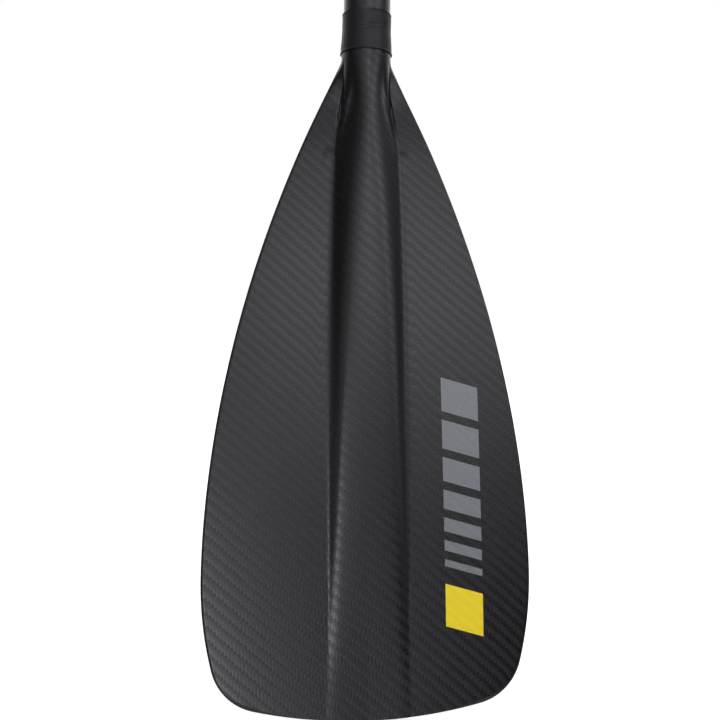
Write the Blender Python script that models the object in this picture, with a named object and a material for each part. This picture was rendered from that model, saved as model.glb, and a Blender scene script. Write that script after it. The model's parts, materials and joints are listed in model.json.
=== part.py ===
"""Adjustable stand-up paddle: a moulded carbon blade bonded to a lower shaft,
a telescoping upper shaft held by a cam lever clamp, and a palm grip on top.

Metres, +Z up along the shaft towards the grip. The origin is on the shaft's axis
where the lower shaft meets the neck of the blade. The blade's ribbed back face,
which faces away from the paddler, looks towards -Y.
"""

import math

import bmesh
import bpy
from mathutils import Matrix, Vector

MM = 0.001

# Clearance between neighbouring pieces, and the sides of a round piece
FIT = 0.3 * MM
ROUND_SIDES = 36
SMALL_SIDES = 20
SHARP_ANGLE = math.radians(35)
CREASE_ANGLE = math.radians(18)

# Blade outline, measured along the blade from its joint with the shaft
BLADE_LENGTH = 408 * MM
BLADE_WIDTH = 190 * MM
WIDEST_AT = 327 * MM
FLARE_REACH = 342 * MM
FLARE_POWER = 1.89
SHOULDER_BLEND = 0.8 * MM
SIDE_RADIUS = 195 * MM
CORNER_RADIUS = 32 * MM
TIP_RADIUS = 275 * MM

# Blade set: the tip leans ahead of the shaft, through a short bend in the neck
CANT = math.radians(12.0)
BEND_START = 12 * MM
BEND_LENGTH = 30 * MM
SCOOP = 3 * MM
DIHEDRAL = 2.5 * MM

# Blade thickness
NECK_RADIUS = 15.3 * MM
NECK_BORE = 13.3 * MM
NECK_END = 16 * MM
SKIN = 0.95 * MM
RIM_THICKNESS = 3.0 * MM
RIM_LAND = 0.8 * MM
RIM_ROUND = 2.2 * MM
PANEL_SWELL = 1.0 * MM
SWELL_LENGTH = 25 * MM
CORE_MARGIN = 9 * MM

# Spine on the back face: a ridge with flat flanks and a broad crest
SPINE_START = 20 * MM
SPINE_END = 352 * MM
SPINE_FADE = 18 * MM
SPINE_HALF_WIDTH = 23 * MM
SPINE_SPREAD = 75 * MM
FLANK_SLOPE = 0.8
CREST_CROWN = 0.7 * MM
MORPH_END = 75 * MM

# Power face: the half tube of the neck fades into a low centre ridge
FAIRING_END = 150 * MM
FAIRING_HALF_WIDTH = 19 * MM
CENTRE_RIDGE = 1.6 * MM

# Plug inside the neck and the shaft
TANG_RADIUS = NECK_BORE - FIT
TANG_IN_SHAFT = 75 * MM
TANG_IN_BLADE = 58 * MM
TANG_TIP_RADIUS = 7.0 * MM

# Lower shaft
LOWER_RADIUS = 14.5 * MM
LOWER_BORE = 13.3 * MM
LOWER_LENGTH = 1100 * MM
LOWER_SLOT = 30 * MM
FOAM_PLUG_LENGTH = 25 * MM

# Heat-shrink sleeve over the joint of shaft and blade
SLEEVE_UP = 13.5 * MM
SLEEVE_DOWN = 10.0 * MM
SLEEVE_WALL = 0.45 * MM
SLEEVE_BEAD = 0.25 * MM
SLEEVE_STEP = 1.6 * MM

# Upper shaft and its travel
UPPER_RADIUS = 13.0 * MM
UPPER_BORE = 11.8 * MM
TRAVEL = 450 * MM
LEAST_OVERLAP = 110 * MM
SHORTEST_BARE = 45 * MM
KEYWAY_WIDTH = 5.0 * MM
KEYWAY_DEPTH = 0.5 * MM
KEYWAY_STOP = 6 * MM
END_PLUG_LENGTH = 22 * MM
END_PLUG_FLANGE = 3 * MM
END_PLUG_BORE = 4 * MM

# Clamp collar on the top of the lower shaft
COLLAR_RADIUS = 18.5 * MM
COLLAR_BELOW = 34 * MM
LINER_HEIGHT = 14 * MM
LIP_HEIGHT = 3.4 * MM
FLANGE_RADIUS = 21.0 * MM
FLANGE_HEIGHT = 4.0 * MM
COLLAR_CHAMFER = 0.9 * MM
CLAMP_SLOT = 2.6 * MM
CLAMP_SLOT_DEPTH = 46 * MM
EAR_REACH = 31 * MM
EAR_HALF_THICKNESS = 9.0 * MM
EAR_HALF_HEIGHT = 16 * MM
EAR_DROP = 6 * MM
EAR_ROUND = 7 * MM

# Clamp screw, its washer, the wear plate and the barrel
SCREW_RADIUS = 2.0 * MM
SCREW_OUT = 24.5 * MM
SCREW_HEAD_RADIUS = 3.6 * MM
SCREW_HEAD_HEIGHT = 4.0 * MM
SCREW_HEAD_ROUND = 0.5 * MM
HEX_SOCKET_RADIUS = 1.8 * MM
HEX_SOCKET_DEPTH = 2.2 * MM
WASHER_RADIUS = 4.6 * MM
WASHER_THICKNESS = 0.8 * MM
WEAR_PLATE = 1.0 * MM
WEAR_PLATE_HALF = 6.5 * MM
BARREL_RADIUS = 4.0 * MM

# Cam lever
LEVER_HALF_HEIGHT = 12 * MM
CAM_RADIUS = 7.5 * MM
CAM_OFFSET = 0.8 * MM
LEVER_ROOT = 3.3 * MM
LEVER_TIP = 1.9 * MM
LEVER_GAP = 0.9 * MM
LEVER_WRAP = math.radians(176)
LEVER_FLARE = 6.5 * MM
LEVER_CLOSE_BY = 0.34
LEVER_FLARE_FROM = 0.62
LEVER_STEPS = 16
FORK_GAP = 3.4 * MM
EDGE_ROUND = 0.9 * MM

# Palm grip
GRIP_HEIGHT = 88 * MM
GRIP_WIDTH = 108 * MM
GRIP_DEPTH = 35 * MM
SOCKET_RADIUS = 15.8 * MM
SOCKET_DEPTH = 30 * MM
GRIP_SIDES = 24
NECK_TOP = 20 * MM
NECK_FLARE = 1.25
BAR_WIDEST = 60 * MM
BAR_POWER = 2.3
CROWN_POWER = 2.2
PAD_FROM = 50 * MM
PAD_WALL = 2.0 * MM
GRIP_ROWS = 7
CROWN_CROWDING = 1.6

# Levels and places that follow from the sizes above
LOWER_TOP = LOWER_LENGTH
LINER_BASE = LOWER_TOP + FIT
LINER_TOP = LINER_BASE + LINER_HEIGHT
COLLAR_BASE = LOWER_TOP - COLLAR_BELOW
COLLAR_TOP = LINER_TOP + FIT + LIP_HEIGHT
COLLAR_BORE = LOWER_RADIUS + FIT
UPPER_BASE = COLLAR_TOP - LEAST_OVERLAP - TRAVEL
GRIP_BASE = COLLAR_TOP + SHORTEST_BARE
UPPER_TOP = GRIP_BASE + SOCKET_DEPTH
SCREW_LEVEL = LOWER_TOP - EAR_DROP
PLATE_FACE = EAR_HALF_THICKNESS + FIT + WEAR_PLATE
BARREL_OUT = PLATE_FACE + FIT + CAM_RADIUS + CAM_OFFSET

# Columns of the blade's grid from the crown to the rim, by their angle on the round
# neck in degrees, and how far the rim's own columns lie inside the outline
RIDGE_ANGLES = (0, 14, 29, 44, 60, 76)
PANEL_ANGLES = (78.5, 81, 83.5, 85.5, 86.7)
RIM_ANGLES = (87.8, 88.9, 90)
RIM_INSETS = (RIM_ROUND * 0.35, RIM_ROUND * 0.08, 0.0)
PANEL_CROWDING = 1.7
NECK_ROWS = 3
SHOULDER_ROWS = 6
BODY_ROWS = 11
SIDE_ROWS = 3
CORNER_ROWS = 3
SHOULDER_CROWDING = 1.3
CREASE_LIMIT = 0.96


def material(name, colour, roughness, metallic=0.0):
    """A plain Principled finish."""
    finish = bpy.data.materials.new(name)
    finish.use_nodes = True
    shader = finish.node_tree.nodes["Principled BSDF"]
    shader.inputs["Base Color"].default_value = (*colour, 1.0)
    shader.inputs["Roughness"].default_value = roughness
    shader.inputs["Metallic"].default_value = metallic
    finish.diffuse_color = (*colour, 1.0)
    return finish


def mix(a, b, share):
    return a + (b - a) * share


def smooth_step(low, high, value):
    """0 below low, 1 above high, with a soft start and end between."""
    t = min(max((value - low) / (high - low), 0.0), 1.0)
    return t * t * (3 - 2 * t)


def soft_max(value, floor, blend):
    """The larger of two values, with the corner between them rounded."""
    above = value - floor
    return floor + (above + math.hypot(above, blend)) / 2


def add_object(name, mesh, finish, parent=None, corner=SHARP_ANGLE):
    """Put a mesh in the scene under its own name, smooth apart from its corners."""
    mesh.name = name
    mesh.materials.append(finish)
    mesh.shade_smooth()
    mesh.set_sharp_from_angle(angle=corner)
    piece = bpy.data.objects.new(name, mesh)
    bpy.context.scene.collection.objects.link(piece)
    piece.parent = parent
    return piece


def finished(bm):
    """Turn a bmesh into a mesh whose faces point out."""
    bmesh.ops.remove_doubles(bm, verts=bm.verts, dist=1e-7)
    bmesh.ops.recalc_face_normals(bm, faces=bm.faces)
    mesh = bpy.data.meshes.new("piece")
    bm.to_mesh(mesh)
    bm.free()
    return mesh


def turned(profile, sides=ROUND_SIDES, closed=True):
    """Spin a profile of (radius, height) points about Z. A closed profile makes a
    ring, and an open one starts and ends on the axis."""
    bm = bmesh.new()
    verts = [bm.verts.new((radius, 0, height)) for radius, height in profile]
    edges = [bm.edges.new(pair) for pair in zip(verts, verts[1:])]
    if closed:
        edges.append(bm.edges.new((verts[-1], verts[0])))
    bmesh.ops.spin(
        bm, geom=verts + edges, cent=(0, 0, 0), axis=(0, 0, 1),
        angle=math.tau, steps=sides, use_merge=True,
    )
    return finished(bm)


def tube(outer, bore, base, top, sides=ROUND_SIDES):
    return turned([(bore, base), (outer, base), (outer, top), (bore, top)], sides)


def plug(radius, base, top, sides=ROUND_SIDES):
    """A solid upright round bar."""
    return turned([(0, base), (radius, base), (radius, top), (0, top)], sides, closed=False)


def laid_along_y(mesh, x, z):
    """Turn a piece made about Z so that its axis runs along Y, at x and z."""
    mesh.transform(Matrix.Translation((x, 0, z)) @ Matrix.Rotation(-math.pi / 2, 4, "X"))
    return mesh


def box(low, high):
    bm = bmesh.new()
    size = Vector(high) - Vector(low)
    middle = (Vector(high) + Vector(low)) / 2
    place = Matrix.Translation(middle) @ Matrix.Diagonal((*size, 1.0))
    bmesh.ops.create_cube(bm, size=1.0, matrix=place)
    return finished(bm)


def extruded(outline, low, high, round_by=0.0):
    """A flat outline of (x, y) points raised from low to high, its rims rounded."""
    bm = bmesh.new()
    base = bm.faces.new([bm.verts.new((x, y, low)) for x, y in outline])
    raised = bmesh.ops.extrude_face_region(bm, geom=[base])
    top = [item for item in raised["geom"] if isinstance(item, bmesh.types.BMVert)]
    bmesh.ops.translate(bm, verts=top, vec=(0, 0, high - low))
    if round_by:
        rims = []
        for edge in bm.edges:
            if abs(edge.verts[0].co.z - edge.verts[1].co.z) < 1e-6:
                rims.append(edge)
        bmesh.ops.bevel(
            bm, geom=rims, offset=round_by, segments=2, profile=0.5,
            affect="EDGES", material=-1,
        )
    return finished(bm)


def cut_or_join(target, name, mesh, operation):
    """Cut a helper solid out of a piece, or join it on."""
    helper = bpy.data.objects.new(name, mesh)
    bpy.context.scene.collection.objects.link(helper)
    helper.parent = target.parent
    helper.hide_render = True
    helper.display_type = "WIRE"
    change = target.modifiers.new(name, "BOOLEAN")
    change.operation = operation
    change.solver = "EXACT"
    change.object = helper


def arc(centre, radius, start, end, steps):
    """Points on an arc, angles in radians."""
    points = []
    for step in range(steps + 1):
        angle = mix(start, end, step / steps)
        points.append(centre + Vector((math.cos(angle), math.sin(angle))) * radius)
    return points


def blade_frame(station):
    """Point on the blade's centre line at a distance along it from the joint, and
    the way out of its back face there."""
    straight = min(station, BEND_START)
    bent = min(max(station - BEND_START, 0.0), BEND_LENGTH)
    rest = max(station - BEND_START - BEND_LENGTH, 0.0)
    bend_radius = BEND_LENGTH / CANT
    turn = bent / bend_radius
    point = Vector((0, bend_radius * (math.cos(turn) - 1), -straight - bend_radius * math.sin(turn)))
    out = Vector((0, -math.cos(turn), math.sin(turn)))
    onward = Vector((0, -math.sin(turn), -math.cos(turn)))
    return point + onward * rest, out


def flare(station):
    """Half width of the blade from the neck to its widest place."""
    share = min(max(WIDEST_AT - station, 0.0) / FLARE_REACH, 1.0)
    grown = BLADE_WIDTH / 2 * (1 - share ** FLARE_POWER)
    return soft_max(grown, NECK_RADIUS, SHOULDER_BLEND)


def tip_arcs():
    """Centres of the side, corner and lower-edge arcs, and the angles at which
    the corner arc meets the other two."""
    side = Vector((BLADE_WIDTH / 2 - SIDE_RADIUS, WIDEST_AT))
    lower = Vector((0, BLADE_LENGTH - TIP_RADIUS))
    apart = (lower - side).length
    to_side = SIDE_RADIUS - CORNER_RADIUS
    to_lower = TIP_RADIUS - CORNER_RADIUS
    along = (to_side ** 2 - to_lower ** 2 + apart ** 2) / (2 * apart)
    across = math.sqrt(to_side ** 2 - along ** 2)
    line = (lower - side).normalized()
    corner = side + line * along + Vector((-line.y, line.x)) * across
    from_side = corner - side
    from_lower = corner - lower
    turn_in = math.atan2(from_side.y, from_side.x)
    turn_out = math.atan2(from_lower.y, from_lower.x)
    return side, corner, lower, turn_in, turn_out


def side_outline():
    """The outline's right side as (point, outward direction) pairs, from the top
    of the neck to the middle of the corner. Points are (half width, station)."""
    side, corner, _, turn_in, turn_out = tip_arcs()
    stations = [NECK_END * row / NECK_ROWS for row in range(NECK_ROWS)]
    for row in range(SHOULDER_ROWS):
        stations.append(mix(NECK_END, MORPH_END, (row / SHOULDER_ROWS) ** SHOULDER_CROWDING))
    for row in range(BODY_ROWS):
        stations.append(mix(MORPH_END, WIDEST_AT, row / BODY_ROWS))
    pairs = []
    for station in stations:
        slope = (flare(station + MM) - flare(station - MM)) / (2 * MM)
        pairs.append((Vector((flare(station), station)), Vector((1, -slope)).normalized()))
    for point in arc(side, SIDE_RADIUS, 0.0, turn_in, SIDE_ROWS):
        pairs.append((point, (point - side).normalized()))
    for point in arc(corner, CORNER_RADIUS, turn_in, (turn_in + turn_out) / 2, CORNER_ROWS)[1:]:
        pairs.append((point, (point - corner).normalized()))
    return pairs


def lower_edge(x, inset):
    """Point at x on the blade's lower edge, or on a line inside it, and the way
    out from it."""
    _, corner, lower, _, turn_out = tip_arcs()
    centre, radius = lower, TIP_RADIUS - inset
    if x > lower.x + radius * math.cos(turn_out):
        centre, radius = corner, CORNER_RADIUS - inset
    across = min(x - centre.x, radius)
    point = Vector((x, centre.y + math.sqrt(radius ** 2 - across ** 2)))
    return point, (point - centre).normalized()


def panel_height(inboard):
    """Height of a panel over the blade's middle surface, by the distance from
    the rim, which is rounded down to a narrow land."""
    if inboard >= RIM_ROUND:
        swell = 1 - math.exp((RIM_ROUND - inboard) / SWELL_LENGTH)
        return RIM_THICKNESS / 2 + PANEL_SWELL * swell
    across = 1 - inboard / RIM_ROUND
    return RIM_LAND / 2 + (RIM_THICKNESS - RIM_LAND) / 2 * math.sqrt(max(1 - across ** 2, 0.0))


def back_ridge(station, foot):
    """Half of the spine's section on the back face, from crest to crease."""
    grown = 1 - math.exp(-max(station - NECK_END, 0.0) / SPINE_SPREAD)
    reach = mix(NECK_RADIUS, SPINE_HALF_WIDTH, grown)
    fall = (NECK_RADIUS - foot) / (SPINE_END - SPINE_START)
    rise = soft_max(fall * (SPINE_END - station), 0.0, fall * SPINE_FADE)
    crest = soft_max(reach - rise / FLANK_SLOPE, reach * 0.1, 2 * MM)
    crown = min(CREST_CROWN, rise * 0.3)
    shoulder = foot + rise - crown
    return [
        (0.0, foot + rise),
        (crest * 0.5, foot + rise - crown * 0.3),
        (crest * 0.9, shoulder),
        (mix(crest, reach, 0.2), mix(shoulder, foot, 0.16)),
        (mix(crest, reach, 0.6), mix(shoulder, foot, 0.58)),
        (reach, foot),
    ]


def power_ridge(station, foot):
    """Half of the faired neck on the power face, which sinks into the blade."""
    fade = 1 - smooth_step(NECK_END, FAIRING_END, station)
    rise = (NECK_RADIUS - foot) * fade
    section = []
    for angle in RIDGE_ANGLES:
        share = angle / RIDGE_ANGLES[-1]
        bump = (1 + math.cos(math.pi * share)) / 2
        section.append((FAIRING_HALF_WIDTH * share, foot + rise * bump))
    return section


def face_height(x, inboard, centre_ridge):
    """Height of a face away from its spine, with a low ridge along its middle."""
    return panel_height(inboard) + centre_ridge * (1 - min(x / (BLADE_WIDTH / 2), 1.0))


def moulded(angle, radius, edge, x, station, height):
    """A point of the blade's section. The section is round at the neck, where the
    point lies at an angle from the crown, and takes its own form below it."""
    share = smooth_step(NECK_END * 0.75, MORPH_END, station)
    round_x = radius * math.sin(math.radians(angle))
    round_height = max(radius * math.cos(math.radians(angle)), FIT / 2)
    crease = radius * math.sin(math.radians(RIDGE_ANGLES[-1]))
    if round_x > crease:
        seam = edge - (NECK_RADIUS - radius)
        round_x = mix(crease, seam, (round_x - crease) / (radius - crease))
    return mix(round_x, x, share), station, mix(round_height, max(height, FIT / 2), share)


def half_face(ridge, centre_ridge, wall, margin, pairs):
    """The right half of a blade face as rows of (x, station, height) points, from
    the centre line to a line inside the outline, and rings from there to the rim.
    The wall is how far the points lie under the face."""
    radius = NECK_BORE if wall else NECK_RADIUS
    last, last_out = pairs[-1]
    corner_x = last.x - margin * last_out.x
    rows = []
    border = []
    for point, out in pairs:
        end = point - out * margin
        foot = face_height(0.0, point.x, centre_ridge)
        section = ridge(point.y, foot)
        spread = min(section[-1][0], end.x * CREASE_LIMIT) / section[-1][0]
        columns = [(angle, x * spread, point.y, h) for angle, (x, h) in zip(RIDGE_ANGLES, section)]
        crease_x = columns[-1][1]
        for step, angle in enumerate(PANEL_ANGLES, 1):
            share = 1 - (1 - step / len(PANEL_ANGLES)) ** PANEL_CROWDING
            x = mix(crease_x, end.x, share)
            inboard = mix(point.x - crease_x, margin, share)
            columns.append((angle, x, mix(point.y, end.y, share), face_height(x, inboard, centre_ridge)))
        bow = max((point.y - MORPH_END) / (last.y - MORPH_END), 0.0) ** 3
        row = []
        for angle, x, station, height in columns:
            drop = lower_edge(x / end.x * corner_x, margin)[0].y - lower_edge(corner_x, margin)[0].y
            row.append(moulded(angle, radius, point.x, x, station + drop * bow, height - wall))
        rows.append(row)
        border.append((point, out, point.x))
    for x, _, _ in reversed(rows[-1][:-1]):
        inside, out = lower_edge(x, margin)
        border.append((inside + out * margin, out, last.x))
    rings = []
    for angle, inset in zip(RIM_ANGLES, RIM_INSETS):
        ring = []
        for point, out, edge in border:
            at = point - out * inset
            height = face_height(at.x, inset, centre_ridge) - wall
            ring.append(moulded(angle, radius, edge, at.x, at.y, height))
        rings.append(ring)
    return rows, rings


def blade_point(x, station, height, side):
    """World position of a point of the blade, side +1 on the back face."""
    point, out = blade_frame(station)
    grown = smooth_step(NECK_END, MORPH_END, station)
    across = min(x / (BLADE_WIDTH / 2), 1.0)
    along = station / BLADE_LENGTH
    lift = grown * (DIHEDRAL * across ** 1.5 + SCOOP * 4 * along * (1 - along))
    return point + Vector((x, 0, 0)) + out * (lift + side * height)


def face_mesh(bm, rows, rings, side):
    """Put a half face into a bmesh, and return its first row and its rim."""
    grid = [[bm.verts.new(blade_point(*point, side)) for point in row] for row in rows]
    border = [row[-1] for row in grid] + list(reversed(grid[-1][:-1]))
    lines = [border]
    for ring in rings:
        lines.append([bm.verts.new(blade_point(*point, side)) for point in ring])
    for upper, lower in list(zip(grid, grid[1:])) + list(zip(lines, lines[1:])):
        for index in range(len(upper) - 1):
            bm.faces.new((upper[index], upper[index + 1], lower[index + 1], lower[index]))
    first = grid[0] + [line[0] for line in lines[1:]]
    return first, lines[-1]


def walled(bm, first, second):
    """Close the strip between two lines of as many points."""
    for index in range(len(first) - 1):
        bm.faces.new((first[index], first[index + 1], second[index + 1], second[index]))


def mirrored(piece):
    """Complete a piece that is modelled on the right of the centre line."""
    whole = piece.modifiers.new("other half", "MIRROR")
    whole.use_axis = (True, False, False)
    whole.merge_threshold = 1e-6


def blade_skin(name, ridge, centre_ridge, side, finish):
    """One moulded shell of the blade, which ends at the top in half of the neck."""
    pairs = side_outline()
    bm = bmesh.new()
    outer = face_mesh(bm, *half_face(ridge, centre_ridge, 0.0, RIM_ROUND, pairs), side)
    inner = face_mesh(bm, *half_face(ridge, centre_ridge, SKIN, RIM_ROUND, pairs), side)
    for outer_line, inner_line in zip(outer, inner):
        walled(bm, outer_line, inner_line)
    mirrored(add_object(name, finished(bm), finish, corner=CREASE_ANGLE))


def blade_core(finish):
    """The foam core, which fills the shells below the plug."""
    first = TANG_IN_BLADE + FIT
    pairs = [(Vector((flare(first), first)), Vector((1, 0)))]
    pairs += [pair for pair in side_outline() if pair[0].y > first + 4 * MM]
    wall = SKIN + FIT
    bm = bmesh.new()
    back_rows, _ = half_face(back_ridge, 0.0, wall, CORE_MARGIN, pairs)
    power_rows, _ = half_face(power_ridge, CENTRE_RIDGE, wall, CORE_MARGIN, pairs)
    back = face_mesh(bm, back_rows, [], 1)
    power = face_mesh(bm, power_rows, [], -1)
    for back_line, power_line in zip(back, power):
        walled(bm, back_line, power_line)
    mirrored(add_object("blade_core", finished(bm), finish))


def blade_tang(finish):
    """The plug that joins blade and shaft. It follows the bend of the neck, and
    tapers where it ends between the shells."""
    stations = [-TANG_IN_SHAFT, -TANG_IN_SHAFT + MM, 0.0, BEND_START]
    stations += [BEND_START + BEND_LENGTH * step / 5 for step in range(1, 6)]
    stations += [TANG_IN_BLADE]
    bm = bmesh.new()
    rings = []
    for station in stations:
        taper = max(station - NECK_END, 0.0) / (TANG_IN_BLADE - NECK_END)
        radius = mix(TANG_RADIUS, TANG_TIP_RADIUS, taper)
        if station == stations[0]:
            radius -= MM
        point, out = blade_frame(station)
        ring = []
        for step in range(SMALL_SIDES):
            angle = math.tau * step / SMALL_SIDES
            across = Vector((1, 0, 0)) * math.cos(angle) + out * math.sin(angle)
            ring.append(bm.verts.new(point + across * radius))
        rings.append(ring)
    for upper, lower in zip(rings, rings[1:]):
        walled(bm, upper + upper[:1], lower + lower[:1])
    bm.faces.new(rings[0])
    bm.faces.new(rings[-1])
    add_object("blade_tang", finished(bm), finish)


def shrink_sleeve(finish):
    """The thin sleeve over the joint. It steps out from the shaft to the neck,
    and both its ends are rolled into a small bead."""
    upper = LOWER_RADIUS + FIT
    lower = NECK_RADIUS + FIT
    step = SLEEVE_STEP
    bead = SLEEVE_BEAD
    profile = [
        (lower, -SLEEVE_DOWN),
        (lower + SLEEVE_WALL, -SLEEVE_DOWN),
        (lower + SLEEVE_WALL + bead, -SLEEVE_DOWN + 2 * bead),
        (lower + SLEEVE_WALL, -SLEEVE_DOWN + 5 * bead),
        (lower + SLEEVE_WALL, 0.0),
        (upper + SLEEVE_WALL, step + FIT),
        (upper + SLEEVE_WALL, SLEEVE_UP - 4 * bead),
        (upper + SLEEVE_WALL + bead, SLEEVE_UP - 2 * bead),
        (upper + SLEEVE_WALL, SLEEVE_UP),
        (upper, SLEEVE_UP),
        (upper, step + FIT),
        (lower, FIT),
    ]
    add_object("shrink_sleeve", turned(profile), finish)


def lower_shaft(finish):
    """The fixed tube, slotted at the top where the collar squeezes it."""
    shaft = add_object("lower_shaft", tube(LOWER_RADIUS, LOWER_BORE, FIT, LOWER_TOP), finish)
    slot = box(
        (LOWER_BORE / 2, -CLAMP_SLOT / 2, LOWER_TOP - LOWER_SLOT),
        (LOWER_RADIUS * 1.5, CLAMP_SLOT / 2, LOWER_TOP + LOWER_SLOT),
    )
    cut_or_join(shaft, "shaft_slot_cutter", slot, "DIFFERENCE")


def foam_plugs(finish, parent):
    """Foam bungs that keep water out: one above the blade's plug in the lower
    shaft, and one at the top of the upper shaft."""
    base = TANG_IN_SHAFT + FIT
    lower = plug(LOWER_BORE - FIT, base, base + FOAM_PLUG_LENGTH, SMALL_SIDES)
    add_object("lower_foam_plug", lower, finish)
    top = UPPER_TOP - FIT
    upper = plug(UPPER_BORE - FIT, top - FOAM_PLUG_LENGTH, top, SMALL_SIDES)
    add_object("upper_foam_plug", upper, finish, parent)


def clamp_collar(finish):
    """The split collar: a turned sleeve with a flange at its foot, a lip over the
    liner, and two ears for the clamp screw."""
    cut = COLLAR_CHAMFER
    profile = [
        (COLLAR_BORE, COLLAR_BASE),
        (FLANGE_RADIUS - cut, COLLAR_BASE),
        (FLANGE_RADIUS, COLLAR_BASE + cut),
        (FLANGE_RADIUS, COLLAR_BASE + FLANGE_HEIGHT - cut),
        (FLANGE_RADIUS - cut, COLLAR_BASE + FLANGE_HEIGHT),
        (COLLAR_RADIUS, COLLAR_BASE + FLANGE_HEIGHT + cut),
        (COLLAR_RADIUS, COLLAR_TOP - cut),
        (COLLAR_RADIUS - cut, COLLAR_TOP),
        (UPPER_RADIUS + 2 * FIT, COLLAR_TOP),
        (UPPER_RADIUS + 2 * FIT, LINER_TOP + FIT),
        (COLLAR_BORE, LINER_TOP + FIT),
    ]
    collar = add_object("clamp_collar", turned(profile), finish)
    base = SCREW_LEVEL - EAR_HALF_HEIGHT
    top = SCREW_LEVEL + EAR_HALF_HEIGHT
    root = COLLAR_BORE + FIT
    quarter = math.pi / 2
    outline = [Vector((root, base))]
    outline += arc(Vector((EAR_REACH - EAR_ROUND, base + EAR_ROUND)), EAR_ROUND, -quarter, 0, 5)
    outline += arc(Vector((EAR_REACH - EAR_ROUND, top - EAR_ROUND)), EAR_ROUND, 0, quarter, 5)
    outline += [Vector((root, top))]
    ears = extruded(outline, -EAR_HALF_THICKNESS, EAR_HALF_THICKNESS)
    ears.transform(Matrix.Rotation(quarter, 4, "X"))
    cut_or_join(collar, "ears_join", ears, "UNION")
    slot = box(
        (LOWER_BORE / 2, -CLAMP_SLOT / 2, COLLAR_TOP - CLAMP_SLOT_DEPTH),
        (EAR_REACH * 1.2, CLAMP_SLOT / 2, COLLAR_TOP + CLAMP_SLOT),
    )
    cut_or_join(collar, "collar_slot_cutter", slot, "DIFFERENCE")
    reach = EAR_HALF_THICKNESS * 1.5
    hole = laid_along_y(plug(SCREW_RADIUS + FIT, -reach, reach, SMALL_SIDES), SCREW_OUT, SCREW_LEVEL)
    cut_or_join(collar, "screw_hole_cutter", hole, "DIFFERENCE")


def collar_liner(finish):
    """The split liner that grips the upper shaft. Its key runs in the keyway, so
    that the blade and the grip stay in line."""
    bore = UPPER_RADIUS + FIT
    liner = add_object("collar_liner", tube(LOWER_RADIUS, bore, LINER_BASE, LINER_TOP), finish)
    half = KEYWAY_WIDTH / 2 - FIT
    key = box(
        (-(bore + LOWER_RADIUS) / 2, -half, LINER_BASE),
        (-(UPPER_RADIUS - KEYWAY_DEPTH + FIT), half, LINER_TOP),
    )
    cut_or_join(liner, "key_join", key, "UNION")
    slot = box(
        (LOWER_BORE / 2, -CLAMP_SLOT / 2, LINER_BASE - MM),
        (LOWER_RADIUS * 1.5, CLAMP_SLOT / 2, LINER_TOP + MM),
    )
    cut_or_join(liner, "liner_slot_cutter", slot, "DIFFERENCE")


def clamp_screw(steel):
    """The screw through both ears, with a socket for a hex key in its head, a
    washer under it, and the wear plate that the cam presses on."""
    washer_base = EAR_HALF_THICKNESS + FIT
    washer_top = washer_base + WASHER_THICKNESS
    washer = tube(WASHER_RADIUS, SCREW_RADIUS + FIT, washer_base, washer_top, SMALL_SIDES)
    add_object("screw_washer", laid_along_y(washer, SCREW_OUT, SCREW_LEVEL), steel)
    seat = washer_top + FIT
    crown = seat + SCREW_HEAD_HEIGHT
    soften = SCREW_HEAD_ROUND
    threaded_end = -BARREL_OUT - BARREL_RADIUS * 0.8
    profile = [
        (0, threaded_end),
        (SCREW_RADIUS, threaded_end),
        (SCREW_RADIUS, seat),
        (SCREW_HEAD_RADIUS, seat),
        (SCREW_HEAD_RADIUS, crown - soften),
        (SCREW_HEAD_RADIUS - soften, crown),
        (0, crown),
    ]
    screw_mesh = laid_along_y(turned(profile, SMALL_SIDES, closed=False), SCREW_OUT, SCREW_LEVEL)
    screw = add_object("clamp_screw", screw_mesh, steel)
    socket = plug(HEX_SOCKET_RADIUS, crown - HEX_SOCKET_DEPTH, crown + HEX_SOCKET_DEPTH, 6)
    cut_or_join(screw, "hex_cutter", laid_along_y(socket, SCREW_OUT, SCREW_LEVEL), "DIFFERENCE")
    half = WEAR_PLATE_HALF
    plate_mesh = box(
        (SCREW_OUT - half, -PLATE_FACE, SCREW_LEVEL - LEVER_HALF_HEIGHT),
        (SCREW_OUT + half, -EAR_HALF_THICKNESS - FIT, SCREW_LEVEL + LEVER_HALF_HEIGHT),
    )
    plate = add_object("wear_plate", plate_mesh, steel)
    hole = plug(SCREW_RADIUS + FIT, -2 * PLATE_FACE, 0.0, SMALL_SIDES)
    cut_or_join(plate, "plate_hole_cutter", laid_along_y(hole, SCREW_OUT, SCREW_LEVEL), "DIFFERENCE")


def lever_barrel(steel):
    """The cross barrel that the screw is threaded into, and the lever turns on."""
    mesh = plug(BARREL_RADIUS, -LEVER_HALF_HEIGHT + MM, LEVER_HALF_HEIGHT - MM, SMALL_SIDES)
    mesh.transform(Matrix.Translation((SCREW_OUT, -BARREL_OUT, SCREW_LEVEL)))
    barrel = add_object("lever_barrel", mesh, steel)
    reach = 2 * BARREL_RADIUS
    hole = plug(SCREW_RADIUS + FIT, -BARREL_OUT - reach, -BARREL_OUT + reach, SMALL_SIDES)
    cut_or_join(barrel, "barrel_hole_cutter", laid_along_y(hole, SCREW_OUT, SCREW_LEVEL), "DIFFERENCE")


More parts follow.
